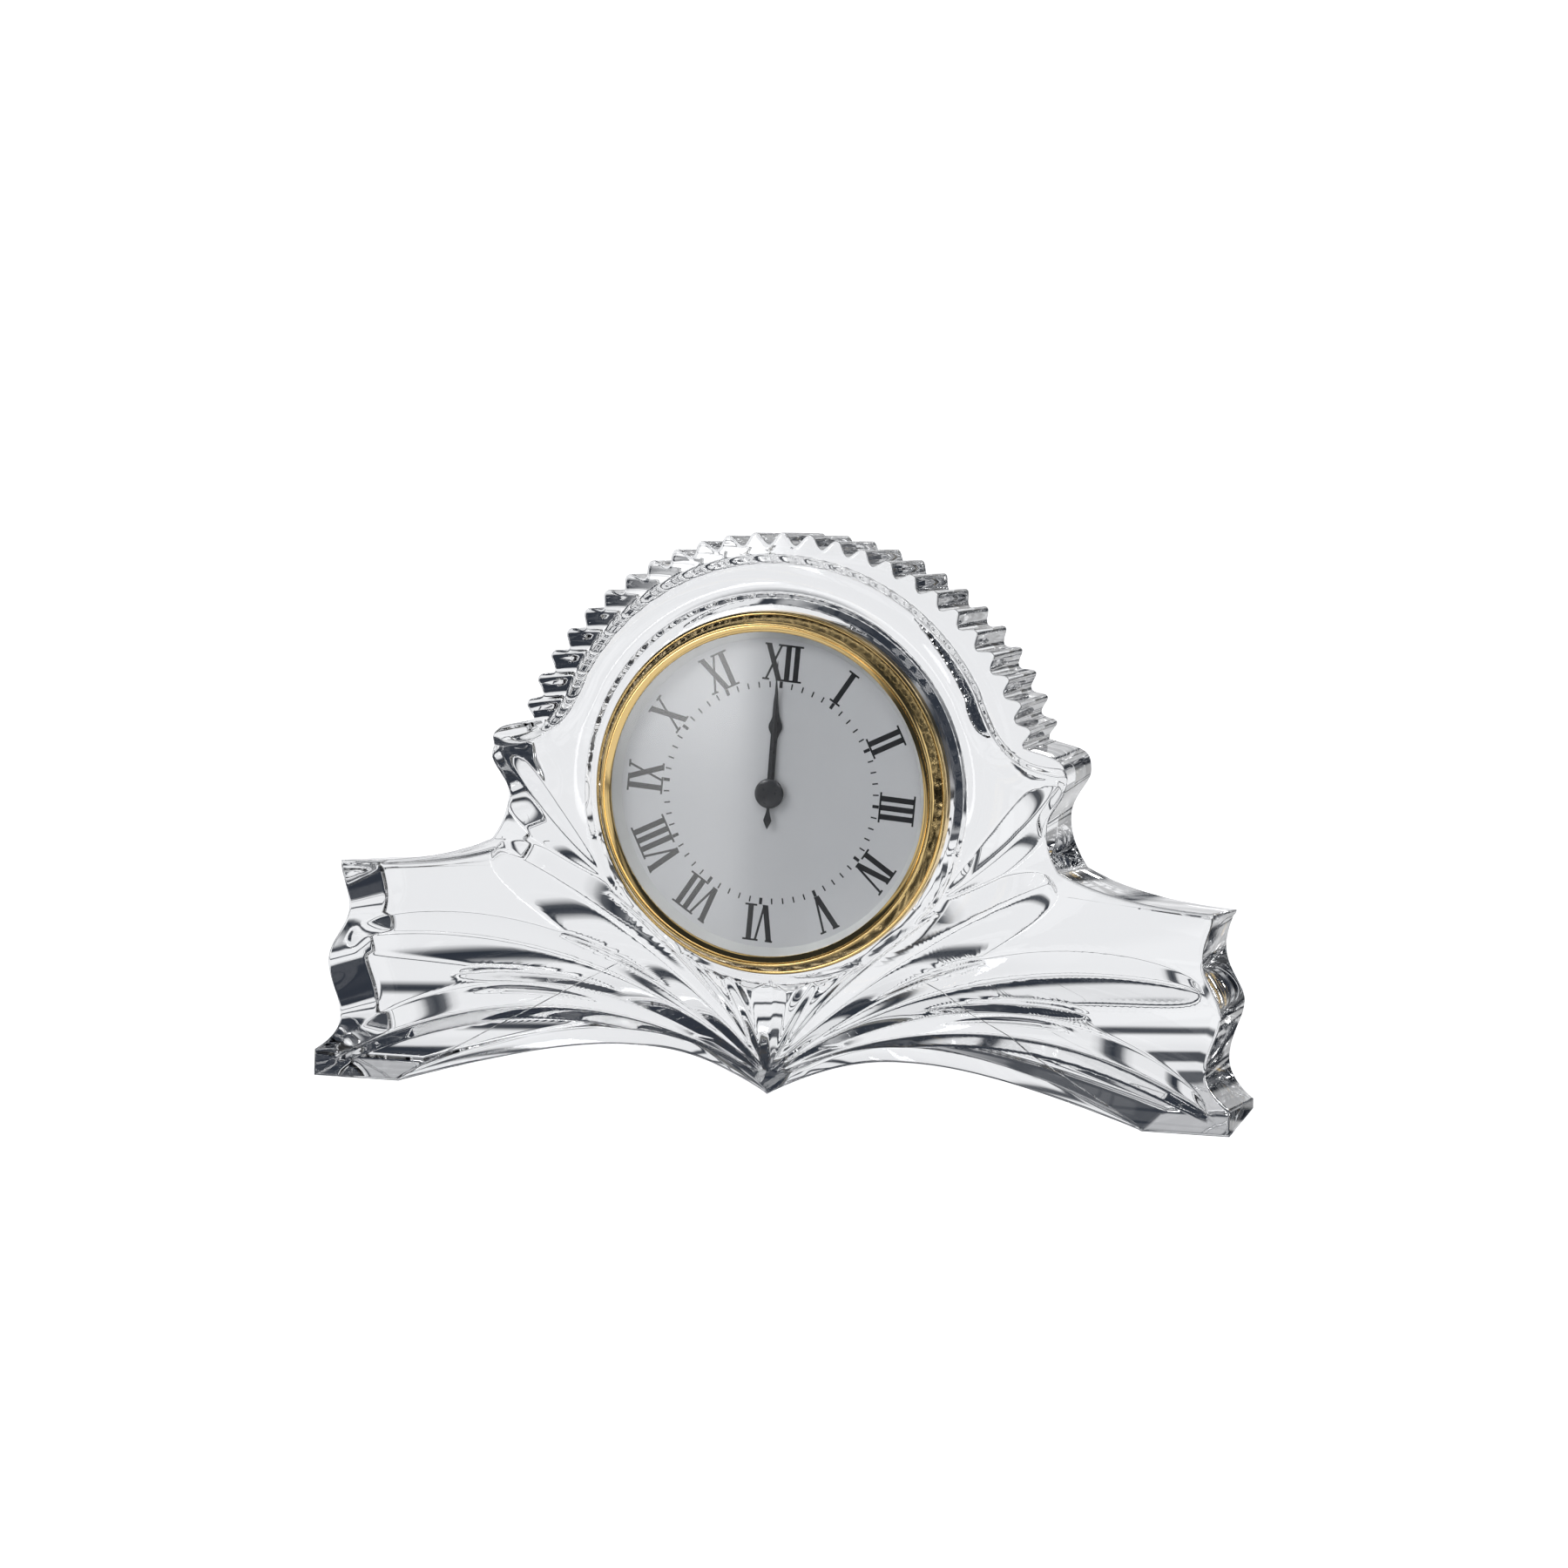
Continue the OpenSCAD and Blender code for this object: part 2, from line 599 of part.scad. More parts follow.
module third_wheel() {
    color("white") in_clock() {
        disc(arbor_r, pivot_front, pivot_back, third_at);
        wheel(third_pin_n, minute_m, third_pin_turn, third_at, y_c - 0.1, y_d);
        wheel(third_n, third_m, third_turn, third_at, y_d, y_d + face_a);
    }
}

module seconds_wheel() {
    color("white") in_clock() {
        disc(seconds_arbor_r, y_seconds - hand_t, y_d);
        wheel(seconds_pin_n, third_m, seconds_pin_turn, [0, 0], y_d - 0.1, y_e);
        wheel(seconds_n, seconds_m, seconds_turn, [0, 0], y_e, y_e + face_c);
        disc(arbor_r, y_e + face_c, pivot_back);
    }
}

module step_wheel() {
    color("white") in_clock() {
        disc(arbor_r, pivot_front, pivot_back, step_at);
        wheel(step_pin_n, seconds_m, step_pin_turn, step_at, y_e - 0.1, y_f);
        wheel(step_n, rotor_m, step_turn, step_at, y_f, y_f + face_c);
    }
}

module rotor() {
    color("darkslategray") in_clock() {
        disc(arbor_r, pivot_front, pivot_back, rotor_at);
        wheel(rotor_n, rotor_m, rotor_turn, rotor_at, y_f - 0.1, y_core - 0.4);
        disc(magnet_r, y_core - 0.4, y_core + 1.1, rotor_at);
    }
}

// Soft-iron plate round the rotor, with two arms that end on the coil's core
module stator() {
    arm = 3;
    color("lightslategray") in_clock() slab(y_core, y_core + 0.8) difference() {
        union() {
            translate(rotor_at) circle(r = magnet_r + 2.4);
            translate([rotor_at.x - arm / 2, rotor_at.y]) square([arm, coil_half + 2 - rotor_at.y]);
            translate([coil_x, coil_half - 0.5]) square([rotor_at.x - coil_x + arm / 2, arm - 0.5]);
            translate([coil_x, -coil_half - 2]) square([rotor_at.x - coil_x, arm - 0.5]);
            translate([rotor_at.x - 1.5 * arm, -coil_half - 2]) square([2 * arm, 4]);
        }
        translate(rotor_at) circle(r = magnet_r + 0.4);
    }
}

// Winding between two flanges, on a flat core whose ends lie on the stator's arms
module coil() {
    flange = 0.8;
    color("peru") in_clock() translate([coil_x, y_core - 1.9, 0]) {
        translate([0, 0, -coil_half + 1]) cylinder(r = coil_r - 0.7, h = 2 * (coil_half - 1) );
        for (z = [-coil_half + 1, coil_half - 1 - flange]) translate([0, 0, z]) cylinder(r = coil_r - 0.1, h = flange);
        translate([-1.2, 1.1, -coil_half - 2]) cube([2.4, 0.8, 2 * coil_half + 4]);
    }
}

module circuit_board() {
    color("darkgreen") in_clock() slab(y_core, y_core + 0.8) difference() {
        translate([board_x, over_cell]) square([board_w, board_h]);
        translate(along(pillar_at, pillar_dirs[1])) circle(r = pillar_r + 0.3);
    }
}

module quartz_can() {
    tube_r = 1.05;
    color("silver") in_clock() translate([board_x + 4.5, y_core - tube_r, over_cell + 3.3])
        cylinder(r = tube_r, h = 6.2);
}

// Spring plates at the two ends of the cell
module contact(side) {
    color("silver") in_clock() translate([side * (cell_l / 2 + 0.35), cell_y, cell_z])
        translate([-0.15, -4.5, -4.5]) cube([0.3, 9, 9]);
}

module contact_plus() { contact(1); }
module contact_minus() { contact(-1); }

module cell() {
    nub = 1.0;
    color("tan") in_clock() translate([-cell_l / 2, cell_y, cell_z]) rotate([0, 90, 0]) {
        cylinder(d = cell_d, h = cell_l - nub);
        cylinder(d = 4.2, h = cell_l);
    }
}

// Knob behind the cover, with its pinion in mesh with the reversing wheel
module setting_knob() {
    color("gold") in_clock() {
        disc(arbor_r, pivot_front, y_b, knob_at);
        wheel(knob_n, canon_m, knob_turn, knob_at, y_b, y_b + face_b);
        disc(1.2, y_b + face_b, can_depth + 0.4, knob_at);
        translate([knob_at.x, 0, knob_at.y]) slab(can_depth + 0.4, can_depth + 3)
            gear(30, 2 * (knob_d / 2) / 32, 0);
    }
}

// Cover that closes the back of the can, with walls round the cell and a hole for the knob's arbor
module rear_cover() {
    color("ivory") in_clock() difference() {
        union() {
            disc(can_in_r - 0.05, y_cover, can_depth);
            for (z = [cell_z - door_h / 2 - cover_wall, cell_z + door_h / 2])
                translate([-door_w / 2 - cover_wall, y_cover - 8, z])
                    cube([door_w + 2 * cover_wall, 8.2, cover_wall]);
            for (x = [-door_w / 2 - cover_wall, door_w / 2])
                translate([x, y_cover - 8, cell_z - door_h / 2]) cube([cover_wall, 8.2, door_h]);
        }
        translate([-door_w / 2, y_cover - 1, cell_z - door_h / 2]) cube([door_w, can_depth - y_cover + 2, door_h]);
        disc(1.2 + run_gap, y_cover - 1, can_depth + 1, knob_at);
    }
}

module cell_cover() {
    gap = 0.3;
    color("ivory") in_clock() translate([-door_w / 2 + gap, y_cover + 0.2, cell_z - door_h / 2 + gap])
        difference() {
            cube([door_w - 2 * gap, can_depth - y_cover - 0.2, door_h - 2 * gap]);
            for (k = [0:4]) translate([door_w / 2 - 6 + k * 2.4, 0.6, 3]) cube([1, 2, door_h - 6.6]);
        }
}

crystal();
grip_ring();
can();
bezel();
lens();
rehaut();
dial();
hour_hand();
minute_hand();
seconds_hand();
front_plate();
bridge();
hour_wheel();
reversing_wheel();
minute_wheel();
third_wheel();
seconds_wheel();
step_wheel();
rotor();
stator();
coil();
circuit_board();
quartz_can();
contact_plus();
contact_minus();
cell();
setting_knob();
rear_cover();
cell_cover();
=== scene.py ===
import math

import bmesh
import bpy
import mathutils
import numpy as np
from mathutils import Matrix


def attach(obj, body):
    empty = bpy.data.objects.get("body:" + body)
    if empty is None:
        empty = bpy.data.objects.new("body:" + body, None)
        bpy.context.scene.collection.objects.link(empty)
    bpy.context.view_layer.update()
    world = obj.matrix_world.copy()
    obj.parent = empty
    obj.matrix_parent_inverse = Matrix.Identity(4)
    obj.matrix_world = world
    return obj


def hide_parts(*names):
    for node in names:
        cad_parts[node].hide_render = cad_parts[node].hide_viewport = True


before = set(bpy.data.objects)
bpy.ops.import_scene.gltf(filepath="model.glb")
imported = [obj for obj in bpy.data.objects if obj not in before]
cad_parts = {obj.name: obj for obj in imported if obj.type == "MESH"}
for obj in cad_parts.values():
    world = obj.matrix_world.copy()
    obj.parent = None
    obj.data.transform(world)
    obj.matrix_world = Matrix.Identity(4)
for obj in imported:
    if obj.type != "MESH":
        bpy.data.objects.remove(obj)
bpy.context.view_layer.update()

# Crystal body. One piece of lead crystal, pressed hot in a mould, cut and then fire polished, so that every edge is
# a little soft. It leans back on the drafted bottoms of its feet, and the bore for the insert is drilled through. A
# toothed rim stands up round the dome; the band inside it is sunken, and mitre cuts fan out over the wings.

lean = math.radians(4.6)
draft = math.tan(lean)
dial_back, dial_height = -14.0, 74.3597


def stood(p):
    """Millimetres in the clock's face frame (X right, Y into the clock, Z up the face) to metres on the table: a turn
    back about X by the lean, then a lift to the dial centre's height."""
    x, y, z = p[..., 0], p[..., 1], p[..., 2]
    c, s = math.cos(lean), math.sin(lean)
    return np.stack([x, dial_back + y * c + z * s, dial_height - y * s + z * c], -1) * 0.001


def shell(name, p, around=True, along=False, sharp=40.0):
    """Closed surface over a grid of points p[row, column], already in metres: every cell becomes one face. around
    joins the last column to the first and along the last row to the first. The six-fold volume under the faces is the
    sum of a . (b x c), and the faces are turned round where it is negative. Points that meet at a pole are merged,
    and edges that fold by more than the sharp angle stay crisp."""
    rows, cols = p.shape[:2]
    index = np.arange(rows * cols).reshape(rows, cols)
    lower, upper = (index, np.roll(index, -1, 0)) if along else (index[:-1], index[1:])
    if around:
        quads = np.stack([lower, np.roll(lower, -1, 1), np.roll(upper, -1, 1), upper], -1)
    else:
        quads = np.stack([lower[:, :-1], lower[:, 1:], upper[:, 1:], upper[:, :-1]], -1)
    quads = quads.reshape(-1, 4)
    points = p.reshape(-1, 3)
    mid = points.mean(0)
    a, b, c, d = (points[quads[:, k]] - mid for k in range(4))
    volume = np.einsum("ij,ij->i", a, np.cross(b, c)).sum() + np.einsum("ij,ij->i", a, np.cross(c, d)).sum()
    if volume < 0:
        quads = quads[:, ::-1]
    return solid(name, points, quads.ravel(), np.full(len(quads), 4), sharp)


def solid(name, points, corners, counts, sharp=40.0):
    """Mesh object at the origin from points, the corner indices of all its faces in a row, and each face's count of
    corners. Doubled points are merged, so that poles and seams are closed."""
    mesh = bpy.data.meshes.new(name)
    mesh.vertices.add(len(points))
    mesh.vertices.foreach_set("co", np.ascontiguousarray(points, np.float32).ravel())
    mesh.loops.add(len(corners))
    mesh.loops.foreach_set("vertex_index", np.ascontiguousarray(corners, np.int32))
    mesh.polygons.add(len(counts))
    mesh.polygons.foreach_set("loop_start", (np.cumsum(counts) - counts).astype(np.int32))
    mesh.update(calc_edges=True)
    work = bmesh.new()
    work.from_mesh(mesh)
    bmesh.ops.remove_doubles(work, verts=work.verts, dist=2e-8)
    bmesh.ops.dissolve_degenerate(work, edges=work.edges, dist=1e-9)
    work.to_mesh(mesh)
    work.free()
    mesh.polygons.foreach_set("use_smooth", np.ones(len(mesh.polygons), bool))
    mesh.set_sharp_from_angle(angle=math.radians(sharp))
    mesh.update()
    piece = bpy.data.objects.new(name, mesh)
    bpy.context.scene.collection.objects.link(piece)
    return piece


def bez2(a, b, c, t):
    """Curve with one control point: a(1-t)^2 + 2b t(1-t) + c t^2."""
    a, b, c, t = np.array(a, float), np.array(b, float), np.array(c, float), t[:, None]
    return a * (1 - t) ** 2 + b * 2 * t * (1 - t) + c * t * t


def bez3(a, b, c, d, t):
    """Curve with two control points: a(1-t)^3 + 3b t(1-t)^2 + 3c t^2(1-t) + d t^3."""
    a, b, c, d, t = *(np.array(q, float) for q in (a, b, c, d)), t[:, None]
    return a * (1 - t) ** 3 + b * 3 * t * (1 - t) ** 2 + c * 3 * t * t * (1 - t) + d * t ** 3


def ease(a, b, t):
    """From a to b with the height even in t and the sideways move a half cosine: (1 - cos(pi t)) / 2."""
    return np.stack([a[0] + (b[0] - a[0]) * (1 - np.cos(np.pi * t)) / 2, a[1] + (b[1] - a[1]) * t], 1)


def flare(a, b, t):
    """From a to b with the height even in t and the sideways move t squared."""
    return np.stack([a[0] + (b[0] - a[0]) * t * t, a[1] + (b[1] - a[1]) * t], 1)


half_w, foot_z, thick, bore = 112.5, -74.6, 34.4, 39.0
middle, foot_in, foot_out = (0, foot_z + 2.8), (half_w - 21.2, foot_z), (half_w, foot_z)
foot_top, low_in, end_out = (half_w, foot_z + 6.4), (half_w - 6.2, -60), (half_w - 2.9, -46.5)
high_in, wing_corner, junction = (half_w - 7.8, -33.5), (half_w - 5.5, -22.5), (69.5, -15.1)
waist, shoulder = (66, -5.3), (70.5, 5.5)
arch_pull = 14.1
teeth, tip, tooth, drop = 25, 65.4, 2.8, 4.3
pitch = 146.6 / teeth


def dome(phi):
    """Toothed edge at phi degrees from the top: radius = tip - tooth ((1 - cos(360 phi / pitch)) / 2)^1.25, about a
    centre that lies a little below the dial's. The power rounds the tips and narrows the valleys."""
    r = tip - tooth * ((1 - np.cos(2 * np.pi * phi / pitch)) / 2) ** 1.25
    return np.stack([r * np.sin(np.radians(phi)), r * np.cos(np.radians(phi)) - drop], 1)


def steps(n):
    """The shares 0, 1/n, 2/n and so on up to the last before 1."""
    return np.arange(n) / n


dome_end = teeth / 2 * pitch
bump_top = dome(np.array([dome_end]))[0]
spans = [  # stretches of the right half's outline, each with the two bore angles between which its spokes start
    (bez3(middle, (26, middle[1] + arch_pull), (45, foot_z + arch_pull), foot_in, steps(150)), -90, -58),
    (foot_in + (np.array(foot_out) - foot_in) * steps(26)[:, None], -58, -52),
    (foot_out + (np.array(foot_top) - foot_out) * steps(8)[:, None], -52, -49.5),
    (flare(low_in, foot_top, 1 - steps(12)), -49.5, -46),
    (ease(low_in, end_out, steps(18)), -46, -40.5),
    (ease(end_out, high_in, steps(18)), -40.5, -34.5),
    (ease(high_in, wing_corner, steps(14)), -34.5, -30),
    (bez2(wing_corner, (83, -21.8), junction, steps(46)), -30, -14),
    (flare(waist, junction, 1 - steps(14)), -14, -4),
    (ease(waist, shoulder, steps(14)), -4, 7),
    (bez3(shoulder, (shoulder[0], shoulder[1] + 6.5), (shoulder[0] - 2, shoulder[1] + 6), bump_top, steps(14)), 7, 15),
    (dome(dome_end * (1 - np.arange(176) / 175)), 15, 90)]
edge = np.concatenate([s[0] for s in spans])
angle = np.concatenate([a + (b - a) * np.arange(len(s)) / (len(s) - (b == 90)) for s, a, b in spans])
edge = np.concatenate([edge, edge[-2:0:-1] * [-1, 1]])
angle = np.radians(np.concatenate([angle, 180 - angle[-2:0:-1]]))
bore_ring = np.stack([np.cos(angle), np.sin(angle)], 1)

# A shift by inward moves both edges at a point in by one. Within reach of a hard corner the shifts turn evenly into
# the corner's own, and deep in the teeth they point at the dome's centre, so that the rows of the wall never cross.
corner_reach, square_in = 5.0, 0.5
ahead = np.roll(edge, -1, 0) - edge
ahead /= np.linalg.norm(ahead, axis=1)[:, None]
normal = np.stack([-ahead[:, 1], ahead[:, 0]], 1)
before = np.roll(normal, 1, 0)
alike = (normal * before).sum(1)
inward = (normal + before) / np.maximum(0.6, 1 + alike)[:, None]
out_of_dome = edge - (0, -drop)
from_dome = np.linalg.norm(out_of_dome, axis=1)
toothed = (from_dome > tip - tooth - 0.3) & (edge[:, 1] > shoulder[1] + 3)
corner = (alike < 0.9) & ~toothed
along_edge = np.concatenate([[0], np.linalg.norm(np.diff(edge, axis=0), axis=1).cumsum()])
to_corner = np.abs(along_edge[:, None] - along_edge[corner])
to_corner = np.minimum(to_corner, along_edge[-1] - to_corner)
near = (1 - to_corner / corner_reach).clip(0)
inward = inward * (1 - near.sum(1)).clip(0)[:, None] + near @ inward[corner]
deep_in = np.where(toothed[:, None], -out_of_dome / from_dome[:, None], inward)


def moved_in(by):
    """The outline moved inwards: edge + inward min(by, 0.5) + deep_in max(by - 0.5, 0), by in millimetres."""
    by = np.broadcast_to(by, len(edge))[:, None]
    return edge + inward * np.minimum(by, square_in) + deep_in * (by - square_in).clip(0)


# The front edge is softened by 0.7 mm all round, and along the arches widens to a bevel that is full in mid arch.
share = np.where(edge[:, 1] > foot_z + 16, 0,
                 np.sin(np.pi * np.clip(np.abs(edge[:, 0]) / foot_in[0], 0, 1)).clip(0) ** 0.5)
bevel_w, bevel_d = 0.7 + 3.5 * share, 0.7 + 1.5 * share
flatness = 1 + 0.85 * share

crease_soft, swell_peak = 0.11, 0.4655


def leaf(x, z, a, b, bow, left, right, deep):
    """Depth of a mitre cut with a V section at each point. Along the chord from a to b, t runs from 0 to 1 and the
    crease bows to the left by 4 bow t (1 - t); it is deep t^0.8 (1 - t)^0.4 / 0.4655 below the face, and rises on
    either side by deep / left or deep / right for each millimetre away from it. A soft bottom, sqrt(u^2 + r^2) - r
    instead of u, is what fire polishing leaves."""
    a, b = np.array(a, float), np.array(b, float)
    chord = b - a
    long = np.linalg.norm(chord)
    along = ((x - a[0]) * chord[0] + (z - a[1]) * chord[1]) / long ** 2
    t = along.clip(0, 1)
    beside = ((z - a[1]) * chord[0] - (x - a[0]) * chord[1]) / long - bow * 4 * t * (1 - t)
    slope = bow * 4 * (1 - 2 * t) / long
    u = beside / np.sqrt(1 + slope ** 2)
    beyond = (along - t) * long
    swell = np.where((t > 0) & (t < 1), t ** 0.8 * (1 - t) ** 0.4 / swell_peak, -0.02)
    soft = crease_soft * deep
    u_soft = np.sqrt(u ** 2 + soft ** 2) - soft
    return deep * swell - u_soft * np.where(u > 0, deep / left, deep / right) - np.abs(beyond) * deep / left


root = np.array([0, foot_z + 8.4])
star = (junction[0] - 1.2, junction[1] - 2.3)
shoulder_star = np.array([shoulder[0] - 1.6, 6.4])


def rooted(tip, away):
    """Start of a leaf that points away from the root, at a given distance from it."""
    to = np.array(tip, float) - root
    return root + to / np.linalg.norm(to) * away


full_cut, short_cut = 3.0, 1.6
leaves = [  # start, tip, bow, width to the left and right of the crease, depth: large ones, fine ones, stars, middle
    (rooted(star, 1.3), star, 4, 7, 8, full_cut),
    (rooted((half_w - 8, -40.7), 2.1), (half_w - 8, -40.7), 11, 5.7, 6.2, full_cut),
    (rooted((half_w - 5.6, foot_z + 5), 3.2), (half_w - 5.6, foot_z + 5), 13.4, 5.8, 2.6, full_cut),
    ((18, -56.3), (77.2, -47.9), 4.6, 1.6, 2.2, short_cut),
    ((22, -58.4), (75.7, -52.4), 3.8, 1.6, 1.8, short_cut),
    (rooted((21.5, -39.6), 6), (21.5, -39.6), 1.6, 2.6, 2.6, short_cut),
    (rooted((11, -43.6), 4), (11, -43.6), 0.8, 2.0, 2.4, short_cut),
    ((6.6, -57), (41.1, -25.8), 1.5, 2.0, 1.8, 1.8),
    ((17, -51), (51, -31.7), 2.0, 1.7, 1.5, 1.5),
    ((14, -56), (52.6, -37), 2.6, 1.6, 1.5, 1.6),
    ((12, -54), (36.5, -41.1), 1.2, 1.3, 1.3, 1.2),
    ((26, -57.2), (58.5, -50.8), 1.6, 1.2, 1.3, 1.1),
    ((7, -61), (24, -59.6), 0.9, 1.0, 1.0, 0.9),
    ((42, -22.4), shoulder_star, -2, 5, 5, full_cut),
    ((54, 8.6), shoulder_star + (0, 0.8), 0, 1.4, 1.2, short_cut),
    ((0, -66.2), (0, -44.6), 0, 4.2, 4.2, 2.4)]


def rim_line():
    """The inner edge of the raised toothed rim: an arc of 55.7 mm about the dial's centre to 62 degrees from the top,
    then a sweep out to the shoulder."""
    phi = np.radians(np.arange(0, 62.1, 2))
    arc = np.stack([55.7 * np.sin(phi), 55.7 * np.cos(phi)], 1)
    sweep = bez3(arc[-1], (53.6, 14), (58, 9.4), shoulder_star + (0, 2.6), np.arange(1, 17) / 16)
    return np.concatenate([arc, sweep, sweep[-1:] + [(8, 0)]])


def rim_distance(x, z):
    """Signed distance to the rim line, positive outside it: the nearest of its short chords, with the sign of the
    side on which the point lies."""
    line = rim_line()
    a, b = line[:-1], line[1:]
    x = np.abs(x)[..., None]
    z = z[..., None]
    d = b - a
    t = (((x - a[:, 0]) * d[:, 0] + (z - a[:, 1]) * d[:, 1]) / (d ** 2).sum(1)).clip(0, 1)
    gap = np.hypot(x - a[:, 0] - t * d[:, 0], z - a[:, 1] - t * d[:, 1])
    k = gap.argmin(-1)
    side = d[k, 0] * (z[..., 0] - a[k, 1]) - d[k, 1] * (x[..., 0] - a[k, 0])
    return gap.min(-1) * np.sign(side)


def smooth(t):
    """Smooth step: t held between 0 and 1, then 3 t^2 - 2 t^3."""
    t = t.clip(0, 1)
    return t * t * (3 - 2 * t)


def front_depth(x, z):
    """Depth of the pressed front at each point: the deepest of three forms. The mitre cuts are joined softly, as
    0.06 log(sum of exp(depth / 0.06)). A V groove, 1.25 deep, runs round the bezel from 43.6 to 47 mm. Outside it lies
    a band that sinks from its crown at 49.8 mm by squares, 0.25 to the groove and 2.2 to the foot of a wall, 2.2 mm
    inside the rim line, where the wall rises to the rim by a smooth step 2.5 mm wide. The band fades out between 8 mm
    above and 14 mm below the dial's centre."""
    cuts = np.stack([np.zeros_like(x)] + [leaf(np.abs(x), z, *c) for c in leaves])
    blend = 0.06
    deepest = cuts.max(0)
    cut = deepest + blend * np.log(np.exp((cuts - deepest) / blend).sum(0))
    gap = rim_distance(x, z)
    ring = np.hypot(x, z)
    groove = 1.25 * np.minimum((ring - 43.6) / 2.0, (47.0 - ring) / 1.4).clip(0)
    crown = 0.25 * ((49.8 - ring) / 2.8).clip(0, 1) ** 2
    fall = 2.2 * ((gap + 7.0) / 4.8).clip(0, 1) ** 2
    band = smooth((z + 14) / 22) * (crown + fall * (1 - smooth((gap + 2.2) / 2.5)))
    return np.maximum(np.maximum(cut, groove), band)


first_row, tries = 0.035, 400


def row_places(start, spoke, count):
    """Where the rows of the front lie along each spoke, as shares of its length from first_row to 1. Between two rows
    lies an equal part of the integral of 1 + 4 sqrt(|depth''|), taken by trapezoids over 400 places and evened out
    over three neighbours both ways, so that the rows gather where the surface bends."""
    p = start + np.linspace(first_row, 1, tries)[:, None, None] * spoke
    shape = front_depth(p[..., 0], p[..., 1])
    gap = np.linalg.norm(p[1] - p[0], axis=1)
    bend = np.zeros_like(shape)
    bend[1:-1] = np.abs(shape[2:] - 2 * shape[1:-1] + shape[:-2]) / gap ** 2
    need = 1 + 4 * np.sqrt(bend)
    need[1:-1] = (need[2:] + need[1:-1] + need[:-2]) / 3
    need[:, 1:-1] = (need[:, 2:] + need[:, 1:-1] + need[:, :-2]) / 3
    filled = np.concatenate([0 * need[:1], ((need[1:] + need[:-1]) * gap / 2).cumsum(0)])
    filled /= filled[-1]
    level = np.linspace(0, 1, count)[:, None]
    below = ((filled[None] <= level[:, None]).sum(1) - 1).clip(0, tries - 2)
    low, high = np.take_along_axis(filled, below, 0), np.take_along_axis(filled, below + 1, 0)
    return first_row + (1 - first_row) * (below + (level - low) / (high - low)) / (tries - 1)


def row(q, down):
    """One row of the body: the face points q, each at its depth."""
    return np.stack([q[:, 0], np.broadcast_to(down, len(q)), q[:, 1]], -1)[None]


# Front, from the bore out to the bevel; its left half mirrors the right.
start = bore_ring * (bore + 0.25)
spoke = moved_in(bevel_w) - start
half = len(edge) // 2 + 1
places = np.concatenate([np.zeros((1, half)), row_places(start[:half], spoke[:half], 70)])
places = np.concatenate([places, places[:, -2:0:-1]], 1)
flat = start + places[..., None] * spoke
depth = front_depth(flat[..., 0], flat[..., 1])
depth[0] = 0
rows = [np.stack([flat[..., 0], depth, flat[..., 1]], -1)]

# Bevel: a quarter ellipse on the teeth, sin and cos to the power 1, and almost a flat chamfer in mid arch, 1.85.
for turn in np.radians([8, 22, 38, 54, 70, 90]):
    shift = bevel_w * (1 - np.sin(turn) ** flatness)
    down = depth[-1] + bevel_d * (1 - np.cos(turn) ** flatness)
    rows.append(row(moved_in(shift + down * draft * np.sin(turn)), down))

# Drafted wall down to a soft back edge, then the flat back and the bore's wall with its small chamfers.
wall_top, back_soft = depth[-1] + bevel_d + 0.25, 0.8
rows.append(row(moved_in(wall_top * draft), wall_top))
for down, extra in [(thick * 0.4, 0), (thick * 0.75, 0), (thick - back_soft - 0.2, 0), (thick - back_soft, 0),
                    (thick - 0.45, 0.12), (thick - 0.16, 0.38), (thick, 0.85), (thick, 1.3)]:
    rows.append(row(moved_in(down * draft + extra), down))
back_edge = moved_in(thick * draft + 1.3)
for k in (0.35, 0.7, 0.97, 1.0):
    rows.append(row(back_edge * (1 - k) + bore_ring * (bore + 0.3) * k, thick))
for r, y in ((bore + 0.09, thick - 0.09), (bore, thick - 0.3), (bore, thick - 0.6), (bore, thick * 0.5), (bore, 0.6),
             (bore, 0.25), (bore + 0.08, 0.08)):
    rows.append(row(bore_ring * r, y))
crystal = shell("crystal_body", stood(np.concatenate(rows)), along=True, sharp=180)


def material(name, color, metallic=0.0, roughness=0.4, **more):
    """A material with one Principled BSDF whose plain values sit on its own sockets. Returns it, its nodes, its
    links and that shader."""
    mat = bpy.data.materials.new(name)
    mat.use_nodes = True
    nodes, links = mat.node_tree.nodes, mat.node_tree.links
    shader = nodes["Principled BSDF"]
    shader.inputs["Base Color"].default_value = (*color, 1)
    shader.inputs["Metallic"].default_value = metallic
    shader.inputs["Roughness"].default_value = roughness
    for socket, value in more.items():
        shader.inputs[socket.replace("_", " ")].default_value = value
    return mat, nodes, links, shader


def effect(name, inputs, outputs):
    """An empty shader group with named inputs, whose default values are given where they have one, and outputs: a
    colour where the name ends in Color, and a float elsewhere. Returns it with its input and output nodes."""
    group = bpy.data.node_groups.new(name, "ShaderNodeTree")
    kinds = {socket: "NodeSocketColor" if socket.endswith("Color") else "NodeSocketFloat"
             for socket in (*inputs, *outputs)}
    for socket, value in inputs.items():
        made = group.interface.new_socket(socket, in_out="INPUT", socket_type=kinds[socket])
        if value is not None:
            made.default_value = value
    for socket in outputs:
        group.interface.new_socket(socket, in_out="OUTPUT", socket_type=kinds[socket])
    return group, group.nodes.new("NodeGroupInput"), group.nodes.new("NodeGroupOutput")


def node(nodes, kind, **values):
    """A node of that kind, with its settings and the values of its inputs given by name."""
    made = nodes.new("ShaderNode" + kind)
    for key, value in values.items():
        if key in made.inputs:
            made.inputs[key].default_value = value
        elif key.replace("_", " ") in made.inputs:
            made.inputs[key.replace("_", " ")].default_value = value
        else:
            setattr(made, key, value)
    return made


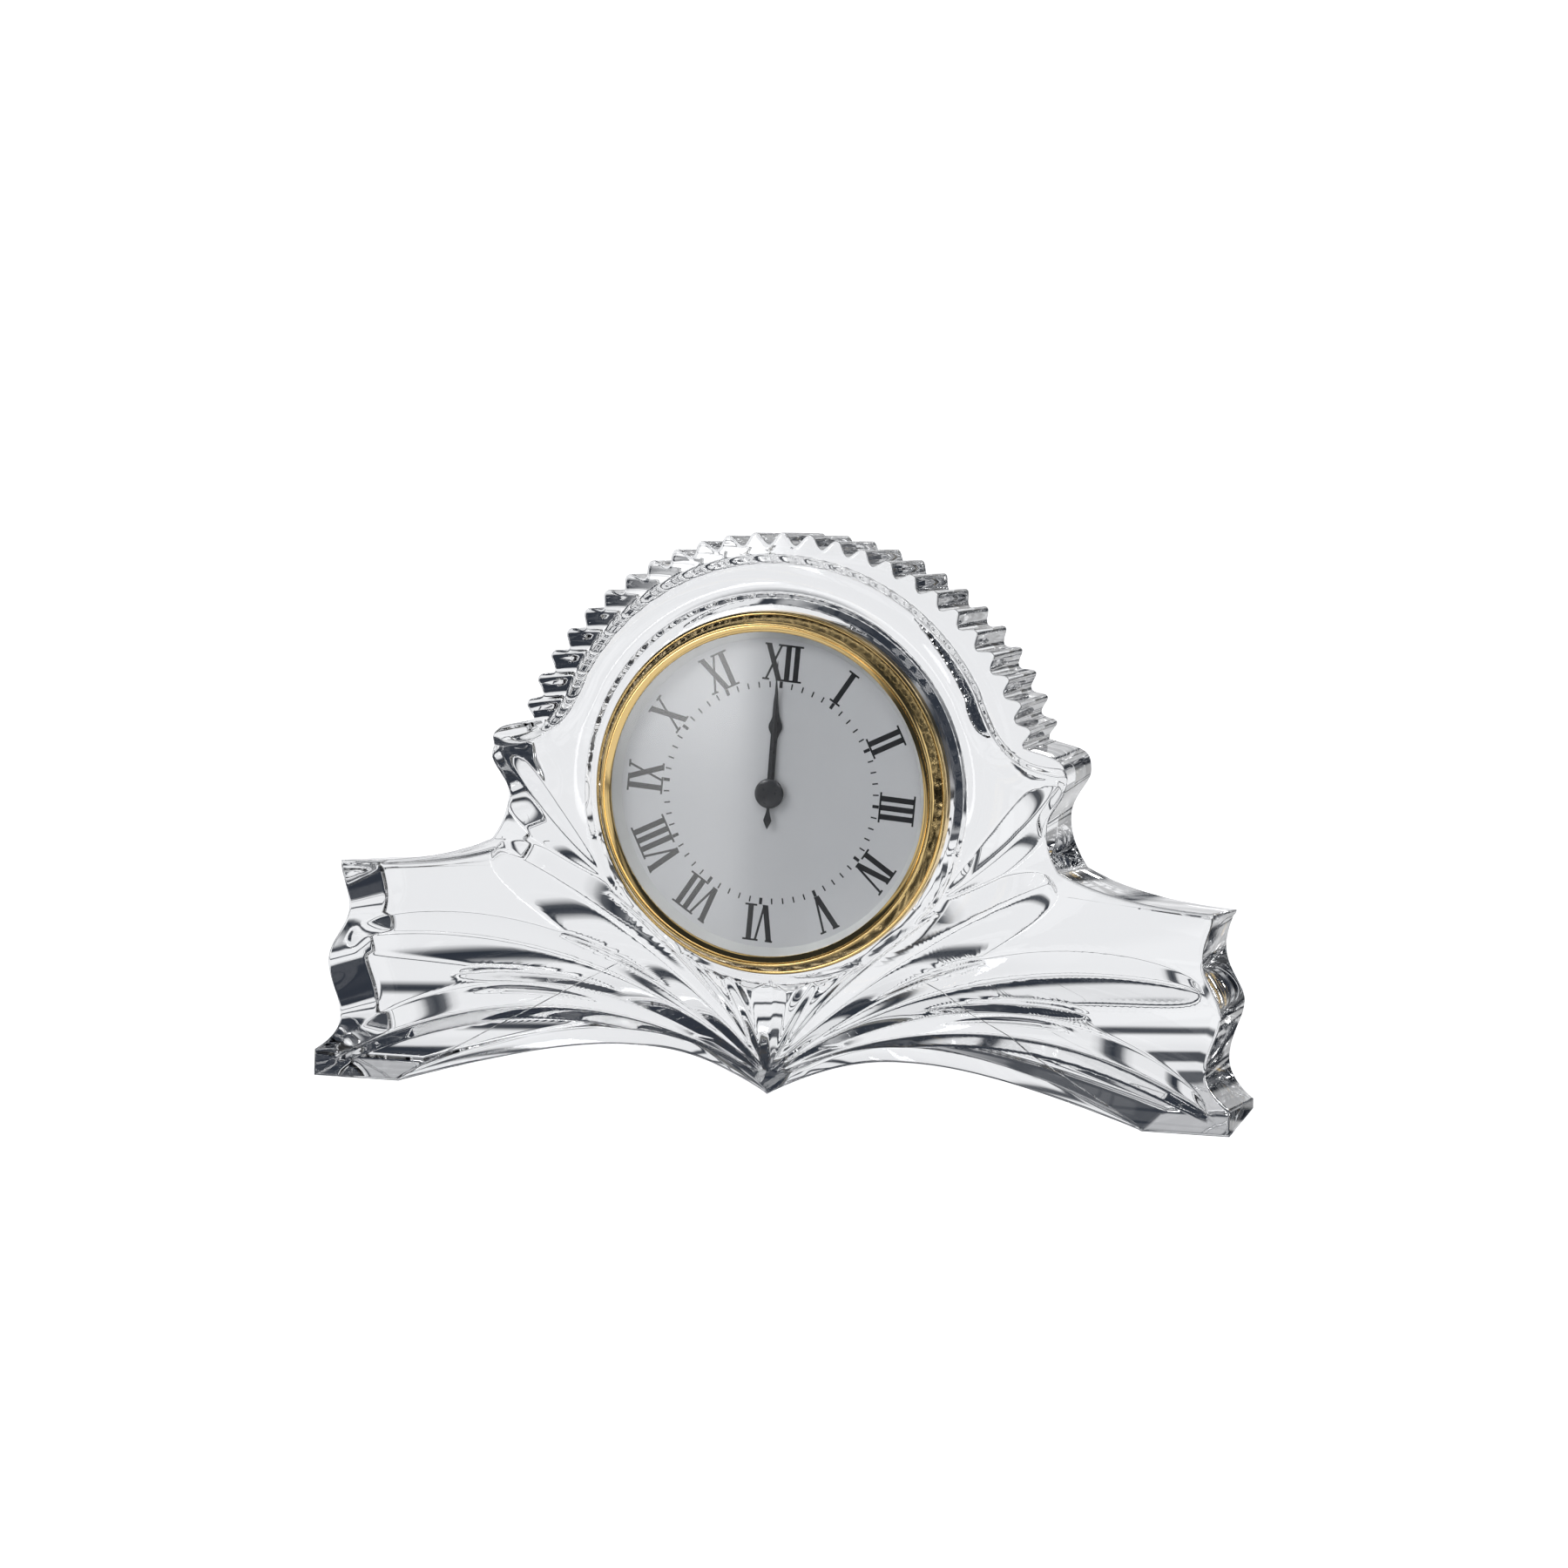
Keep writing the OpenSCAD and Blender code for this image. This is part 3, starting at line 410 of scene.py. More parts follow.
def use(nodes, group, **values):
    """Places a group in a material with its own values."""
    made = nodes.new("ShaderNodeGroup")
    made.node_tree = group
    for key, value in values.items():
        made.inputs[key.replace("_", " ")].default_value = value
    return made


# Faint dull spots and fine waves that every polished or moulded surface has, worked out in the object's own metres.
wear, wear_in, wear_out = effect("handling", {"Scale": 900.0, "Low": 0.05, "High": 0.12}, ["Roughness", "Height"])
where = node(wear.nodes, "TexCoord")
spots = node(wear.nodes, "TexNoise", Detail=4.0, Roughness=0.62)
fine = node(wear.nodes, "TexNoise", Detail=2.0)
bigger = node(wear.nodes, "Math", operation="MULTIPLY")
bigger.inputs[1].default_value = 6.0
span = node(wear.nodes, "MapRange")
span.inputs["From Min"].default_value, span.inputs["From Max"].default_value = 0.35, 0.7
wear.links.new(where.outputs["Object"], spots.inputs["Vector"])
wear.links.new(where.outputs["Object"], fine.inputs["Vector"])
wear.links.new(wear_in.outputs["Scale"], spots.inputs["Scale"])
wear.links.new(wear_in.outputs["Scale"], bigger.inputs[0])
wear.links.new(bigger.outputs[0], fine.inputs["Scale"])
wear.links.new(spots.outputs[0], span.inputs["Value"])
wear.links.new(wear_in.outputs["Low"], span.inputs["To Min"])
wear.links.new(wear_in.outputs["High"], span.inputs["To Max"])
wear.links.new(span.outputs[0], wear_out.inputs["Roughness"])
wear.links.new(fine.outputs[0], wear_out.inputs["Height"])


def worn(nodes, links, shader, scale, low, high, height=0.0):
    """Puts the handling group on a shader's roughness and, with a height in metres, on its bump."""
    group = use(nodes, wear, Scale=scale, Low=low, High=high)
    links.new(group.outputs["Roughness"], shader.inputs["Roughness"])
    if height:
        bump = node(nodes, "Bump", Strength=0.6, Distance=height)
        links.new(group.outputs["Height"], bump.inputs["Height"])
        links.new(bump.outputs["Normal"], shader.inputs["Normal"])


def lamplit(nodes, links, shader, tint):
    """Lets lamps through clear glass: a shadow or diffuse ray meets a tinted film in place of the glass."""
    film = node(nodes, "BsdfTransparent", Color=(*tint, 1))
    path = nodes.new("ShaderNodeLightPath")
    either = node(nodes, "Math", operation="MAXIMUM")
    mix = nodes.new("ShaderNodeMixShader")
    links.new(path.outputs["Is Shadow Ray"], either.inputs[0])
    links.new(path.outputs["Is Diffuse Ray"], either.inputs[1])
    links.new(either.outputs[0], mix.inputs[0])
    links.new(shader.outputs[0], mix.inputs[1])
    links.new(film.outputs[0], mix.inputs[2])
    links.new(mix.outputs[0], nodes["Material Output"].inputs["Surface"])


clear, nodes, links, shader = material("pressed lead crystal", (0.985, 0.99, 0.995), roughness=0.0,
                                       IOR=1.545, Transmission_Weight=1.0)
worn(nodes, links, shader, 160.0, 0.0, 0.008)
lamplit(nodes, links, shader, (0.86, 0.87, 0.88))
crystal.data.materials.append(clear)
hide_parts("crystal")
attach(crystal, "crystal")

# Ribbed ring. A band of soft black rubber, moulded with four fins and stretched over the can behind its collar. The
# fins of a real ring grip the bore; these end 0.08 mm short of it, so that the insert slides.


def inset(p):
    """Face-frame millimetres of the insert to metres on the table: a clockwise turn in the bore, then stood()."""
    c, s = math.cos(math.radians(3.9)), math.sin(math.radians(3.9))
    x, y, z = p[..., 0], p[..., 1], p[..., 2]
    return stood(np.stack([x * c + z * s, y, z * c - x * s], -1))


def turned(name, profile, sharp=40.0, sides=192, closed=True):
    """Solid of revolution about the dial's axis: each [radius, depth] of the profile goes round as
    (r cos a, y, r sin a). An open profile starts and ends on the axis."""
    profile = np.array(profile, float)
    a = 2 * np.pi * np.arange(sides) / sides
    r, y = profile[:, :1], profile[:, 1:]
    p = np.stack([r * np.cos(a), y + 0 * a, r * np.sin(a)], -1)
    return shell(name, inset(p), along=closed, sharp=sharp)


def rounded(points, radius, n=5):
    """Profile with each corner replaced by a short curve: the two points a given distance before and after the
    corner, joined by a curve with the corner as its control point."""
    points = np.array(points, float)
    radius = np.broadcast_to(radius, len(points))
    out = []
    for k, p in enumerate(points):
        back, on = points[k - 1] - p, points[(k + 1) % len(points)] - p
        cut = min(radius[k], 0.45 * np.linalg.norm(back), 0.45 * np.linalg.norm(on))
        if cut < 1e-4:
            out.append(p[None])
            continue
        a = p + back / np.linalg.norm(back) * cut
        b = p + on / np.linalg.norm(on) * cut
        out.append(bez2(a, p, b, np.linspace(0, 1, n)))
    return np.concatenate(out)


can_r, collar_y = 36.2, 3.0
band_r, fin_r, fin_step = can_r + 1, bore - 0.08, 3.2
fins = [(can_r, collar_y + 0.3), (band_r, collar_y + 0.3)]
for k in range(4):
    y = collar_y + 1.1 + k * fin_step
    fins += [(band_r, y), (fin_r, y + 0.5), (fin_r, y + 1.6), (band_r, y + 2.1)]
fins += [(band_r, collar_y + 13.5), (can_r, collar_y + 13.5)]
grip = turned("grip_ring_rubber", rounded(fins, 0.25))
rubber, nodes, links, shader = material("soft black rubber", (0.045, 0.045, 0.048), roughness=0.7)
worn(nodes, links, shader, 700.0, 0.55, 0.8, 2e-5)
grip.data.materials.append(rubber)
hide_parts("grip_ring")
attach(grip, "insert")


# Can. One moulding of pale plastic: a ledge that carries the dial, a flange that the bezel is rolled over, and a long
# thin wall round the movement. It is pushed into the bore from the front.

can_in_r, can_end, ledge_r, ledge_y, dial_r, collar_r = 34.6, 20.6, 32.1, -2.6, 38.0, 38.6
flange_r, seat_y, flange_back = 41.65, -1.25, -0.05
can = turned("can_body", rounded([(can_in_r, 4.4), (ledge_r, 4.4), (ledge_r, ledge_y), (dial_r, ledge_y),
                                  (dial_r, seat_y), (flange_r, seat_y), (flange_r, flange_back),
                                  (collar_r, flange_back), (collar_r, collar_y), (can_r, collar_y), (can_r, can_end),
                                  (can_in_r, can_end)], 0.15))

# Cloudiness of moulded and painted parts: a blend of two near colours that follows coarse and fine noise.
cloud, cloud_in, cloud_out = effect("cloudiness", {"Scale": 120.0, "Light Color": None, "Dark Color": None}, ["Color"])
place = node(cloud.nodes, "TexCoord")
drift = node(cloud.nodes, "TexNoise", Detail=5.0, Roughness=0.55)
blend = node(cloud.nodes, "Mix", data_type="RGBA")
cloud.links.new(place.outputs["Object"], drift.inputs["Vector"])
cloud.links.new(cloud_in.outputs["Scale"], drift.inputs["Scale"])
cloud.links.new(drift.outputs[0], blend.inputs[0])
cloud.links.new(cloud_in.outputs["Light Color"], blend.inputs[6])
cloud.links.new(cloud_in.outputs["Dark Color"], blend.inputs[7])
cloud.links.new(blend.outputs[2], cloud_out.inputs["Color"])


def moulded(name, color, rough, scale=260.0, height=1e-5, shade=0.88, metallic=0.0, **more):
    """A finished plain material: its colour drifts between color and shade x color, its roughness runs from 0.85 to
    1.15 times rough in fine spots, and a small bump gives it the skin of a moulding or casting."""
    mat, nodes, links, shader = material(name, color, metallic, rough, **more)
    tone = use(nodes, cloud, Scale=scale * 0.4, Light_Color=(*color, 1), Dark_Color=(*(shade * c for c in color), 1))
    links.new(tone.outputs["Color"], shader.inputs["Base Color"])
    worn(nodes, links, shader, scale, 0.85 * rough, 1.15 * rough, height)
    return mat


pale = moulded("pale moulded plastic", (0.78, 0.78, 0.76), 0.42)
can.data.materials.append(pale)
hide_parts("can")
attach(can, "insert")

# Movement. Two plates of natural plastic snap together on three pillars and hold wheels of white acetal, a sintered
# magnet, a soft-iron stator with its coil of enamelled copper wire, and a small green board with the quartz.


def clothe(mat, *names):
    """Gives solids of the frame this material; their shapes are already right."""
    for name in names:
        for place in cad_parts[name].material_slots:
            place.material = mat


clothe(moulded("natural plate plastic", (0.80, 0.77, 0.68), 0.45), "front_plate", "bridge")
clothe(moulded("white acetal", (0.88, 0.88, 0.84), 0.3, 500.0, 4e-6, 0.94), "hour_wheel", "reversing_wheel",
       "minute_wheel", "third_wheel", "seconds_wheel", "step_wheel")
clothe(moulded("sintered magnet", (0.12, 0.125, 0.135), 0.4, 1600.0, 8e-6, 0.7, 0.6), "rotor")
clothe(moulded("stamped soft iron", (0.44, 0.45, 0.47), 0.34, 900.0, 4e-6, 0.85, 1.0), "stator")
clothe(moulded("nickel plate", (0.70, 0.69, 0.66), 0.2, 700.0, 2e-6, 0.93, 1.0), "quartz_can", "contact_plus",
       "contact_minus")
clothe(moulded("cell jacket", (0.62, 0.47, 0.24), 0.32, 300.0, 2e-6, 0.9, 0.7), "cell")

wire, nodes, links, shader = material("enamelled copper wire", (0.62, 0.25, 0.10), 0.9, 0.3)
turns = node(nodes, "TexWave", Scale=1400.0, Distortion=0.4, bands_direction="Z")
spot = node(nodes, "TexCoord")
bump = node(nodes, "Bump", Strength=0.8, Distance=4e-5)
tone = use(nodes, cloud, Scale=400.0, Light_Color=(0.66, 0.28, 0.11, 1), Dark_Color=(0.50, 0.18, 0.07, 1))
links.new(spot.outputs["Object"], turns.inputs["Vector"])
links.new(turns.outputs["Fac"], bump.inputs["Height"])
links.new(bump.outputs["Normal"], shader.inputs["Normal"])
links.new(tone.outputs["Color"], shader.inputs["Base Color"])
clothe(wire, "coil")

board, nodes, links, shader = material("green lacquered board", (0.03, 0.20, 0.09), 0.0, 0.3, Coat_Weight=0.4)
tracks = node(nodes, "TexBrick", Scale=260.0, offset=0.37, Color1=(0.025, 0.18, 0.08, 1), Color2=(0.03, 0.22, 0.10, 1),
              Mortar=(0.10, 0.34, 0.14, 1))
tracks.inputs["Mortar Size"].default_value = 0.06
spot = node(nodes, "TexCoord")
links.new(spot.outputs["Object"], tracks.inputs["Vector"])
links.new(tracks.outputs["Color"], shader.inputs["Base Color"])
worn(nodes, links, shader, 800.0, 0.25, 0.4, 6e-6)
clothe(board, "circuit_board")

# Dial. A thin brass disc, silvered and brushed from top to bottom, that lies on the can's ledge. The hours and the
# minute track are printed on it in black, with their feet towards the centre.

dial_y, dial_hole_r = -3.0, 3.0
dial = turned("dial_plate", [(dial_hole_r, dial_y), (dial_r, dial_y), (dial_r, dial_y + 0.4),
                             (dial_hole_r, dial_y + 0.4)])
silvered, nodes, links, shader = material("brushed silvering", (0.77, 0.77, 0.79), 0.4, 0.36)
spot = node(nodes, "TexCoord")
stretch = node(nodes, "Mapping")
stretch.inputs["Scale"].default_value = (9000.0, 300.0, 160.0)
grain = node(nodes, "TexNoise", Scale=1.0, Detail=3.0, Roughness=0.6)
sheen = node(nodes, "MapRange")
sheen.inputs["To Min"].default_value, sheen.inputs["To Max"].default_value = 0.30, 0.44
bump = node(nodes, "Bump", Strength=0.35, Distance=4e-6)
tone = use(nodes, cloud, Scale=90.0, Light_Color=(0.79, 0.79, 0.81, 1), Dark_Color=(0.74, 0.74, 0.76, 1))
links.new(spot.outputs["Object"], stretch.inputs["Vector"])
links.new(stretch.outputs[0], grain.inputs["Vector"])
links.new(grain.outputs[0], sheen.inputs["Value"])
links.new(sheen.outputs[0], shader.inputs["Roughness"])
links.new(grain.outputs[0], bump.inputs["Height"])
links.new(bump.outputs["Normal"], shader.inputs["Normal"])
links.new(tone.outputs["Color"], shader.inputs["Base Color"])
dial.data.materials.append(silvered)
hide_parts("dial")
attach(dial, "insert")

foot_r, head_r = 26.5, 35.2
stem, broad, hairline, serif_w = 1.3, 1.35, 0.55, 0.45


def slant(u0, u1, wide, v0=foot_r, v1=head_r):
    """One printed stroke of an even width across, from u0 at the radius v0 to u1 at the radius v1."""
    h = wide / 2
    return [(u0 - h, v0), (u0 + h, v0), (u1 + h, v1), (u1 - h, v1)]


def serif(u, half, top):
    """A thin bar across the end of a stroke, half to each side of it."""
    v = head_r - serif_w if top else foot_r
    return slant(u, u, 2 * half, v, v + serif_w)


def numeral(text):
    """The strokes of a Roman hour, centred. An I is one thick stem between two serifs; a V has a thick left arm and
    a thin right one; an X has a thick stroke that falls to the right and a thin one that falls to the left."""
    gaps = {"II": 2.15, "VI": 3.35, "IV": 3.35, "XI": 3.4, "IX": 3.4}
    reach = {"I": 1.45, "V": 2.5, "X": 2.5}
    at = [0.0]
    for pair in zip(text, text[1:]):
        at.append(at[-1] + gaps["".join(pair)])
    centre = (at[0] - reach[text[0]] + at[-1] + reach[text[-1]]) / 2
    strokes = []
    for letter, u in zip(text, np.array(at) - centre):
        if letter == "I":
            strokes += [slant(u, u, stem), serif(u, 1.45, True), serif(u, 1.45, False)]
        elif letter == "V":
            strokes += [slant(u - 0.1, u - 1.7, broad), slant(u + 0.1, u + 1.75, hairline),
                        serif(u - 1.65, 0.9, True), serif(u + 1.75, 0.75, True)]
        else:
            strokes += [slant(u + 1.6, u - 1.6, broad), slant(u - 1.7, u + 1.7, hairline)]
            strokes += [serif(u + s * 1.65, 0.85, top) for s in (-1, 1) for top in (True, False)]
    return strokes


def on_dial(strokes, turn):
    """Turns strokes clockwise by turn degrees: (u, v) goes to v (sin, cos) + u (cos, -sin)."""
    q = np.array(strokes, float)
    c, s = math.cos(math.radians(turn)), math.sin(math.radians(turn))
    return np.stack([q[..., 1] * s + q[..., 0] * c, q[..., 1] * c - q[..., 0] * s], -1)


def printed(name, quads, y0, y1):
    """Closed plates, each a flat quad of the dial's plane given a thickness from y0 to y1: eight corners and six
    faces, whose corner order keeps every face pointing outwards."""
    n = len(quads)
    front = np.concatenate([quads[..., :1], np.full((n, 4, 1), y0), quads[..., 1:]], -1)
    back = np.concatenate([quads[..., :1], np.full((n, 4, 1), y1), quads[..., 1:]], -1)
    box = np.array([[0, 1, 2, 3], [7, 6, 5, 4], [0, 4, 5, 1], [1, 5, 6, 2], [2, 6, 7, 3], [3, 7, 4, 0]])
    faces = box[None] + 8 * np.arange(n)[:, None, None]
    points = np.concatenate([front, back], 1).reshape(-1, 3)
    return solid(name, inset(points), faces.ravel(), np.full(6 * n, 4))


hours = ["XII", "I", "II", "III", "IV", "V", "VI", "VII", "VIII", "IX", "X", "XI"]
marks = [on_dial(numeral(text), 30 * k) for k, text in enumerate(hours)]
track_r, minute_tick, hour_tick = 24.9, (0.34, 26.3), (0.75, 26.45)
for k in range(60):
    wide, outer_r = minute_tick if k % 5 else hour_tick
    marks.append(on_dial([slant(0, 0, wide, track_r, outer_r)], 6 * k))
printing = printed("dial_print", np.concatenate(marks), dial_y - 0.025, dial_y + 0.02)
ink = moulded("black printing ink", (0.012, 0.012, 0.014), 0.5, 900.0, 2e-6, 0.7)
printing.data.materials.append(ink)
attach(printing, "insert")

# Hands. Pressed from thin sheet with a ridge along the middle and lacquered black. Each is pushed on its own tube: the
# hour hand with its pointed leaf, the minute hand, and the needle with a diamond tail under a domed cap.


def blade(name, stations, back, front, turn):
    """Tapering blade with a ridge. Each station gives the distance v along the hand and the half width w there; its
    section is (-w, back), (-w, edge), (0, front), (w, edge), (w, back), with the edge 60% of the way forward."""
    st = np.array(stations, float)
    v, w = st[:, 0], st[:, 1]
    flat = np.minimum(1, w / 0.3)
    edge_y = back + (front - back) * 0.6 * flat
    top_y = back + (front - back) * np.maximum(0.6 * flat, np.minimum(1, 0.6 + w))
    u = np.stack([-w, -w, 0 * w, w, w], 1)
    y = np.stack([0 * w + back, edge_y, top_y, edge_y, 0 * w + back], 1)
    c, s = math.cos(math.radians(turn)), math.sin(math.radians(turn))
    p = np.stack([u * c + v[:, None] * s, y, v[:, None] * c - u * s], -1)
    return shell(name, inset(p), sharp=20)


def joined(*pieces):
    """One object from several closed shells."""
    with bpy.context.temp_override(active_object=pieces[0], object=pieces[0],
                                   selected_editable_objects=list(pieces), selected_objects=list(pieces)):
        bpy.ops.object.join()
    return pieces[0]


lacquer, nodes, links, shader = material("black hand lacquer", (0.022, 0.023, 0.027), 0.2, 0.32, Coat_Weight=0.3)
worn(nodes, links, shader, 900.0, 0.26, 0.4, 3e-6)
hour_y, minute_y, seconds_y, sheet = dial_y - 0.45, dial_y - 0.95, dial_y - 1.45, 0.2
cap_r, hour_at, minute_at, seconds_at = 3.5, -1.0, -1.5, -1.6  # at: degrees clockwise from twelve
hour_hand = joined(
    blade("hour_hand_blade", [(2.0, 0.75), (11, 0.68), (12.8, 0.7), (13.9, 1.0), (14.9, 1.5), (15.5, 1.68), (16.3, 1.6),
                              (17.4, 1.15), (19, 0.62), (21, 0.34), (24, 0.0)], hour_y, hour_y - sheet, hour_at),
    turned("hub_a", [(2.2, hour_y), (2.9, hour_y), (2.9, hour_y - 0.14), (2.8, hour_y - sheet), (2.2, hour_y - sheet)]))
minute_hand = joined(
    blade("minute_hand_blade", [(1.7, 0.85), (12, 0.74), (21.4, 0.6), (24, 0.35), (26.4, 0.0)], minute_y,
          minute_y - sheet, minute_at),
    turned("hub_b", [(1.55, minute_y), (2.6, minute_y), (2.6, minute_y - 0.14), (2.5, minute_y - sheet),
                     (1.55, minute_y - sheet)]))
cap = [(cap_r * math.sin(t), seconds_y - sheet - 0.75 * math.cos(t)) for t in np.linspace(0, math.pi / 2, 13)]
seconds_hand = joined(
    blade("seconds_hand_blade", [(-8.5, 0.0), (-7.4, 0.55), (-6.4, 1.0), (-5.2, 0.65), (-4.0, 0.36), (0, 0.38),
                                 (12, 0.3), (30.5, 0.15), (31.5, 0.0)], seconds_y, seconds_y - sheet, seconds_at),
    turned("hub_c", cap + [(cap_r, seconds_y), (0.8, seconds_y), (0.8, seconds_y - sheet), (0, seconds_y - sheet)],
           closed=False))
for hand, stands_for, body in ((hour_hand, "hour_hand", "hour"), (minute_hand, "minute_hand", "minute"),
                               (seconds_hand, "seconds_hand", "seconds")):
    hand.data.materials.clear()
    hand.data.materials.append(lacquer)
    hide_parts(stands_for)
    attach(hand, body)

# Slanted ring. Silver-grey satin plastic, moulded, that slopes from the lens down to the dial. It stands on the can's
# flange round the dial and holds the lens against the bezel's lip.

lens_r, lens_front, lens_back, opening_r = 39.5, -6.5, -5.7, 38.2
ring_r, window_r, around_dial_r, ring_foot = lens_r - 0.15, 36.5, dial_r + 0.1, seat_y - 0.1
slope = turned("slanted_ring", rounded([(ring_r, lens_back), (opening_r, lens_back), (window_r, dial_y - 0.1),
                                        (window_r, dial_y), (around_dial_r, dial_y), (around_dial_r, ring_foot),
                                        (ring_r, ring_foot)], 0.06, 3))
satin = moulded("satin grey ring", (0.72, 0.72, 0.71), 0.42, 600.0, 2e-6, 0.95, 0.15)
slope.data.materials.append(satin)
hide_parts("rehaut")
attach(slope, "insert")

# Lens. A flat disc of clear glass with its rim ground to a small chamfer, laid in behind the bezel's lip before the
# slanted ring is put in.

chamfer = 0.15
lens = turned("lens_disc", [(0, lens_front), (lens_r - chamfer, lens_front), (lens_r, lens_front + chamfer),
                            (lens_r, lens_back - chamfer), (lens_r - chamfer, lens_back), (0, lens_back)],
              closed=False)
flat_glass, nodes, links, shader = material("flat clear glass", (0.99, 0.995, 0.995), roughness=0.0, IOR=1.5,
                                            Transmission_Weight=1.0)
worn(nodes, links, shader, 120.0, 0.0, 0.015)
lamplit(nodes, links, shader, (0.92, 0.93, 0.93))
lens.data.materials.append(flat_glass)
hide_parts("lens")
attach(lens, "insert")

# Bezel. Spun from brass sheet, polished and lacquered, and rolled over the can's flange: a rounded base bead, a fine
# dark groove, a curved flank up to a crisp ridge, a notch, and a cone that falls inwards to the lens.

bead_r, bead_y, bead_round = 42.3, -3.35, 0.55
bead = [(bead_r + bead_round * math.cos(t), bead_y - bead_round * math.sin(t)) for t in np.linspace(0, 1.9, 8)]
flank = bez2((42.05, -4.3), (41.4, -5.95), (40.6, -7.5), np.linspace(0, 1, 8))
ridge = bez2((40.6, -7.5), (40.3, -7.82), (39.9, -7.6), np.linspace(0, 1, 6))[1:]
cone = bez2((39.48, -7.42), (38.9, -7.26), (38.5, -7.05), np.linspace(0, 1, 6))
lip = bez2((38.42, -7.0), (opening_r, -6.92), (opening_r, -6.7), np.linspace(0, 1, 4))
ring = turned("bezel_ring", np.concatenate([
    [(bead_r + bead_round, flange_back)], bead, [(42.02, -3.55), (42.0, -3.6), (42.08, -3.75), (42.12, -4.1)], flank,
    ridge, [(39.74, -7.3), (39.6, -7.3)], cone, lip,
    [(opening_r, lens_front), (lens_r, lens_front), (lens_r, seat_y), (flange_r, seat_y), (flange_r, flange_back)]]),
    sharp=30, sides=256)
brass, nodes, links, shader = material("polished lacquered brass", (0.86, 0.62, 0.27), 1.0, 0.09, Coat_Weight=0.25,
                                       Coat_Roughness=0.08)
tone = use(nodes, cloud, Scale=60.0, Light_Color=(0.88, 0.65, 0.30, 1), Dark_Color=(0.78, 0.54, 0.21, 1))
links.new(tone.outputs["Color"], shader.inputs["Base Color"])
worn(nodes, links, shader, 200.0, 0.09, 0.13)
ring.data.materials.append(brass)
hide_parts("bezel")
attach(ring, "insert")

# Back. A plain ivory cover snaps into the can's end, with an opening for the cell under its own ribbed cover; beside
# it the fluted knob sets the hands through the reversing wheel.

ivory = moulded("ivory cover plastic", (0.82, 0.79, 0.70), 0.48)
clothe(ivory, "rear_cover", "cell_cover")
clothe(moulded("gilt knob plastic", (0.68, 0.50, 0.20), 0.3, 400.0, 3e-6, 0.9, 0.3), "setting_knob")

# Camera. It stands where the photograph was taken: 2.8 m away, 16 degrees to the clock's right and 6 degrees above
# the dial's own axis, rolled a little, with a long lens that was fitted to the clock's edges in the picture.

right_of, above, rolled = math.radians(16.22), math.radians(6.21), math.radians(1.64)
aim_right, aim_up, away, focal = 2.15, 1.80, 2772, 270.97
back = np.array([math.sin(right_of) * math.cos(above), -math.cos(right_of) * math.cos(above), math.sin(above)])
across = np.array([math.cos(right_of), math.sin(right_of), 0.0])
upwards = np.cross(back, across)
across, upwards = (across * math.cos(rolled) + upwards * math.sin(rolled),
                   upwards * math.cos(rolled) - across * math.sin(rolled))
centre = aim_right * across + aim_up * upwards
stand_at = stood(centre + away * back)
axes = [stood(centre + v) * 1000 - stood(centre) * 1000 for v in (across, upwards, back)]
lens_data = bpy.data.cameras.new("camera")
lens_data.lens, lens_data.sensor_width = focal, 36.0
lens_data.clip_start, lens_data.clip_end = 0.05, 60.0
camera = bpy.data.objects.new("camera", lens_data)
camera.matrix_world = mathutils.Matrix([[*(float(a[k]) for a in axes), float(stand_at[k])] for k in range(3)]
                                       + [[0, 0, 0, 1]])
bpy.context.scene.collection.objects.link(camera)
bpy.context.scene.camera = camera

# Studio. A white table that runs on behind the clock, in a white room crossed by thin dark slats, upright and level
# ones, with a dark ceiling and bright screens at the sides. Cut glass and brass draw each slat as a fine dark line.

studio_turn = math.radians(16.0)
slats_right = [(0.105, 1.0), (0.12, 0.0), (0.13, 0.0), (0.145, 1.0), (0.187, 1.0), (0.20, 0.0), (0.21, 0.0),
               (0.222, 1.0), (0.32, 1.0), (0.345, 0.0), (0.365, 0.0), (0.41, 0.35), (0.50, 0.0)]
room_across = [(-at, level) for at, level in reversed(slats_right)] + slats_right
room_up = [(-0.97, 0.6), (-0.93, 0.0), (-0.86, 0.0), (-0.825, 0.9), (-0.775, 0.9), (-0.75, 0.0), (-0.69, 0.0),
           (-0.665, 0.9), (-0.57, 1.0), (-0.545, 0.0), (-0.53, 0.0), (-0.505, 1.0), (-0.40, 1.0), (-0.38, 0.0),
           (-0.37, 0.0), (-0.35, 1.0), (-0.045, 1.0), (-0.03, 0.0), (-0.02, 0.0), (-0.005, 1.0), (0.17, 0.95),
           (0.20, 0.0), (0.23, 0.0), (0.30, 0.5), (0.42, 0.0), (0.79, 0.0), (0.83, 0.9), (0.93, 1.0), (0.97, 0.0)]
screens_across = [(-0.985, 0.8), (-0.955, 0.1), (-0.92, 0.7), (-0.86, 0.0), (0.86, 0.0), (0.90, 0.9), (0.97, 1.0)]
screens_up = [(-0.35, 0.0), (-0.12, 1.0), (0.45, 1.0), (0.6, 0.0)]
room_dark, room_white = (0.030, 0.036, 0.048, 1), (0.90, 0.905, 0.92, 1)


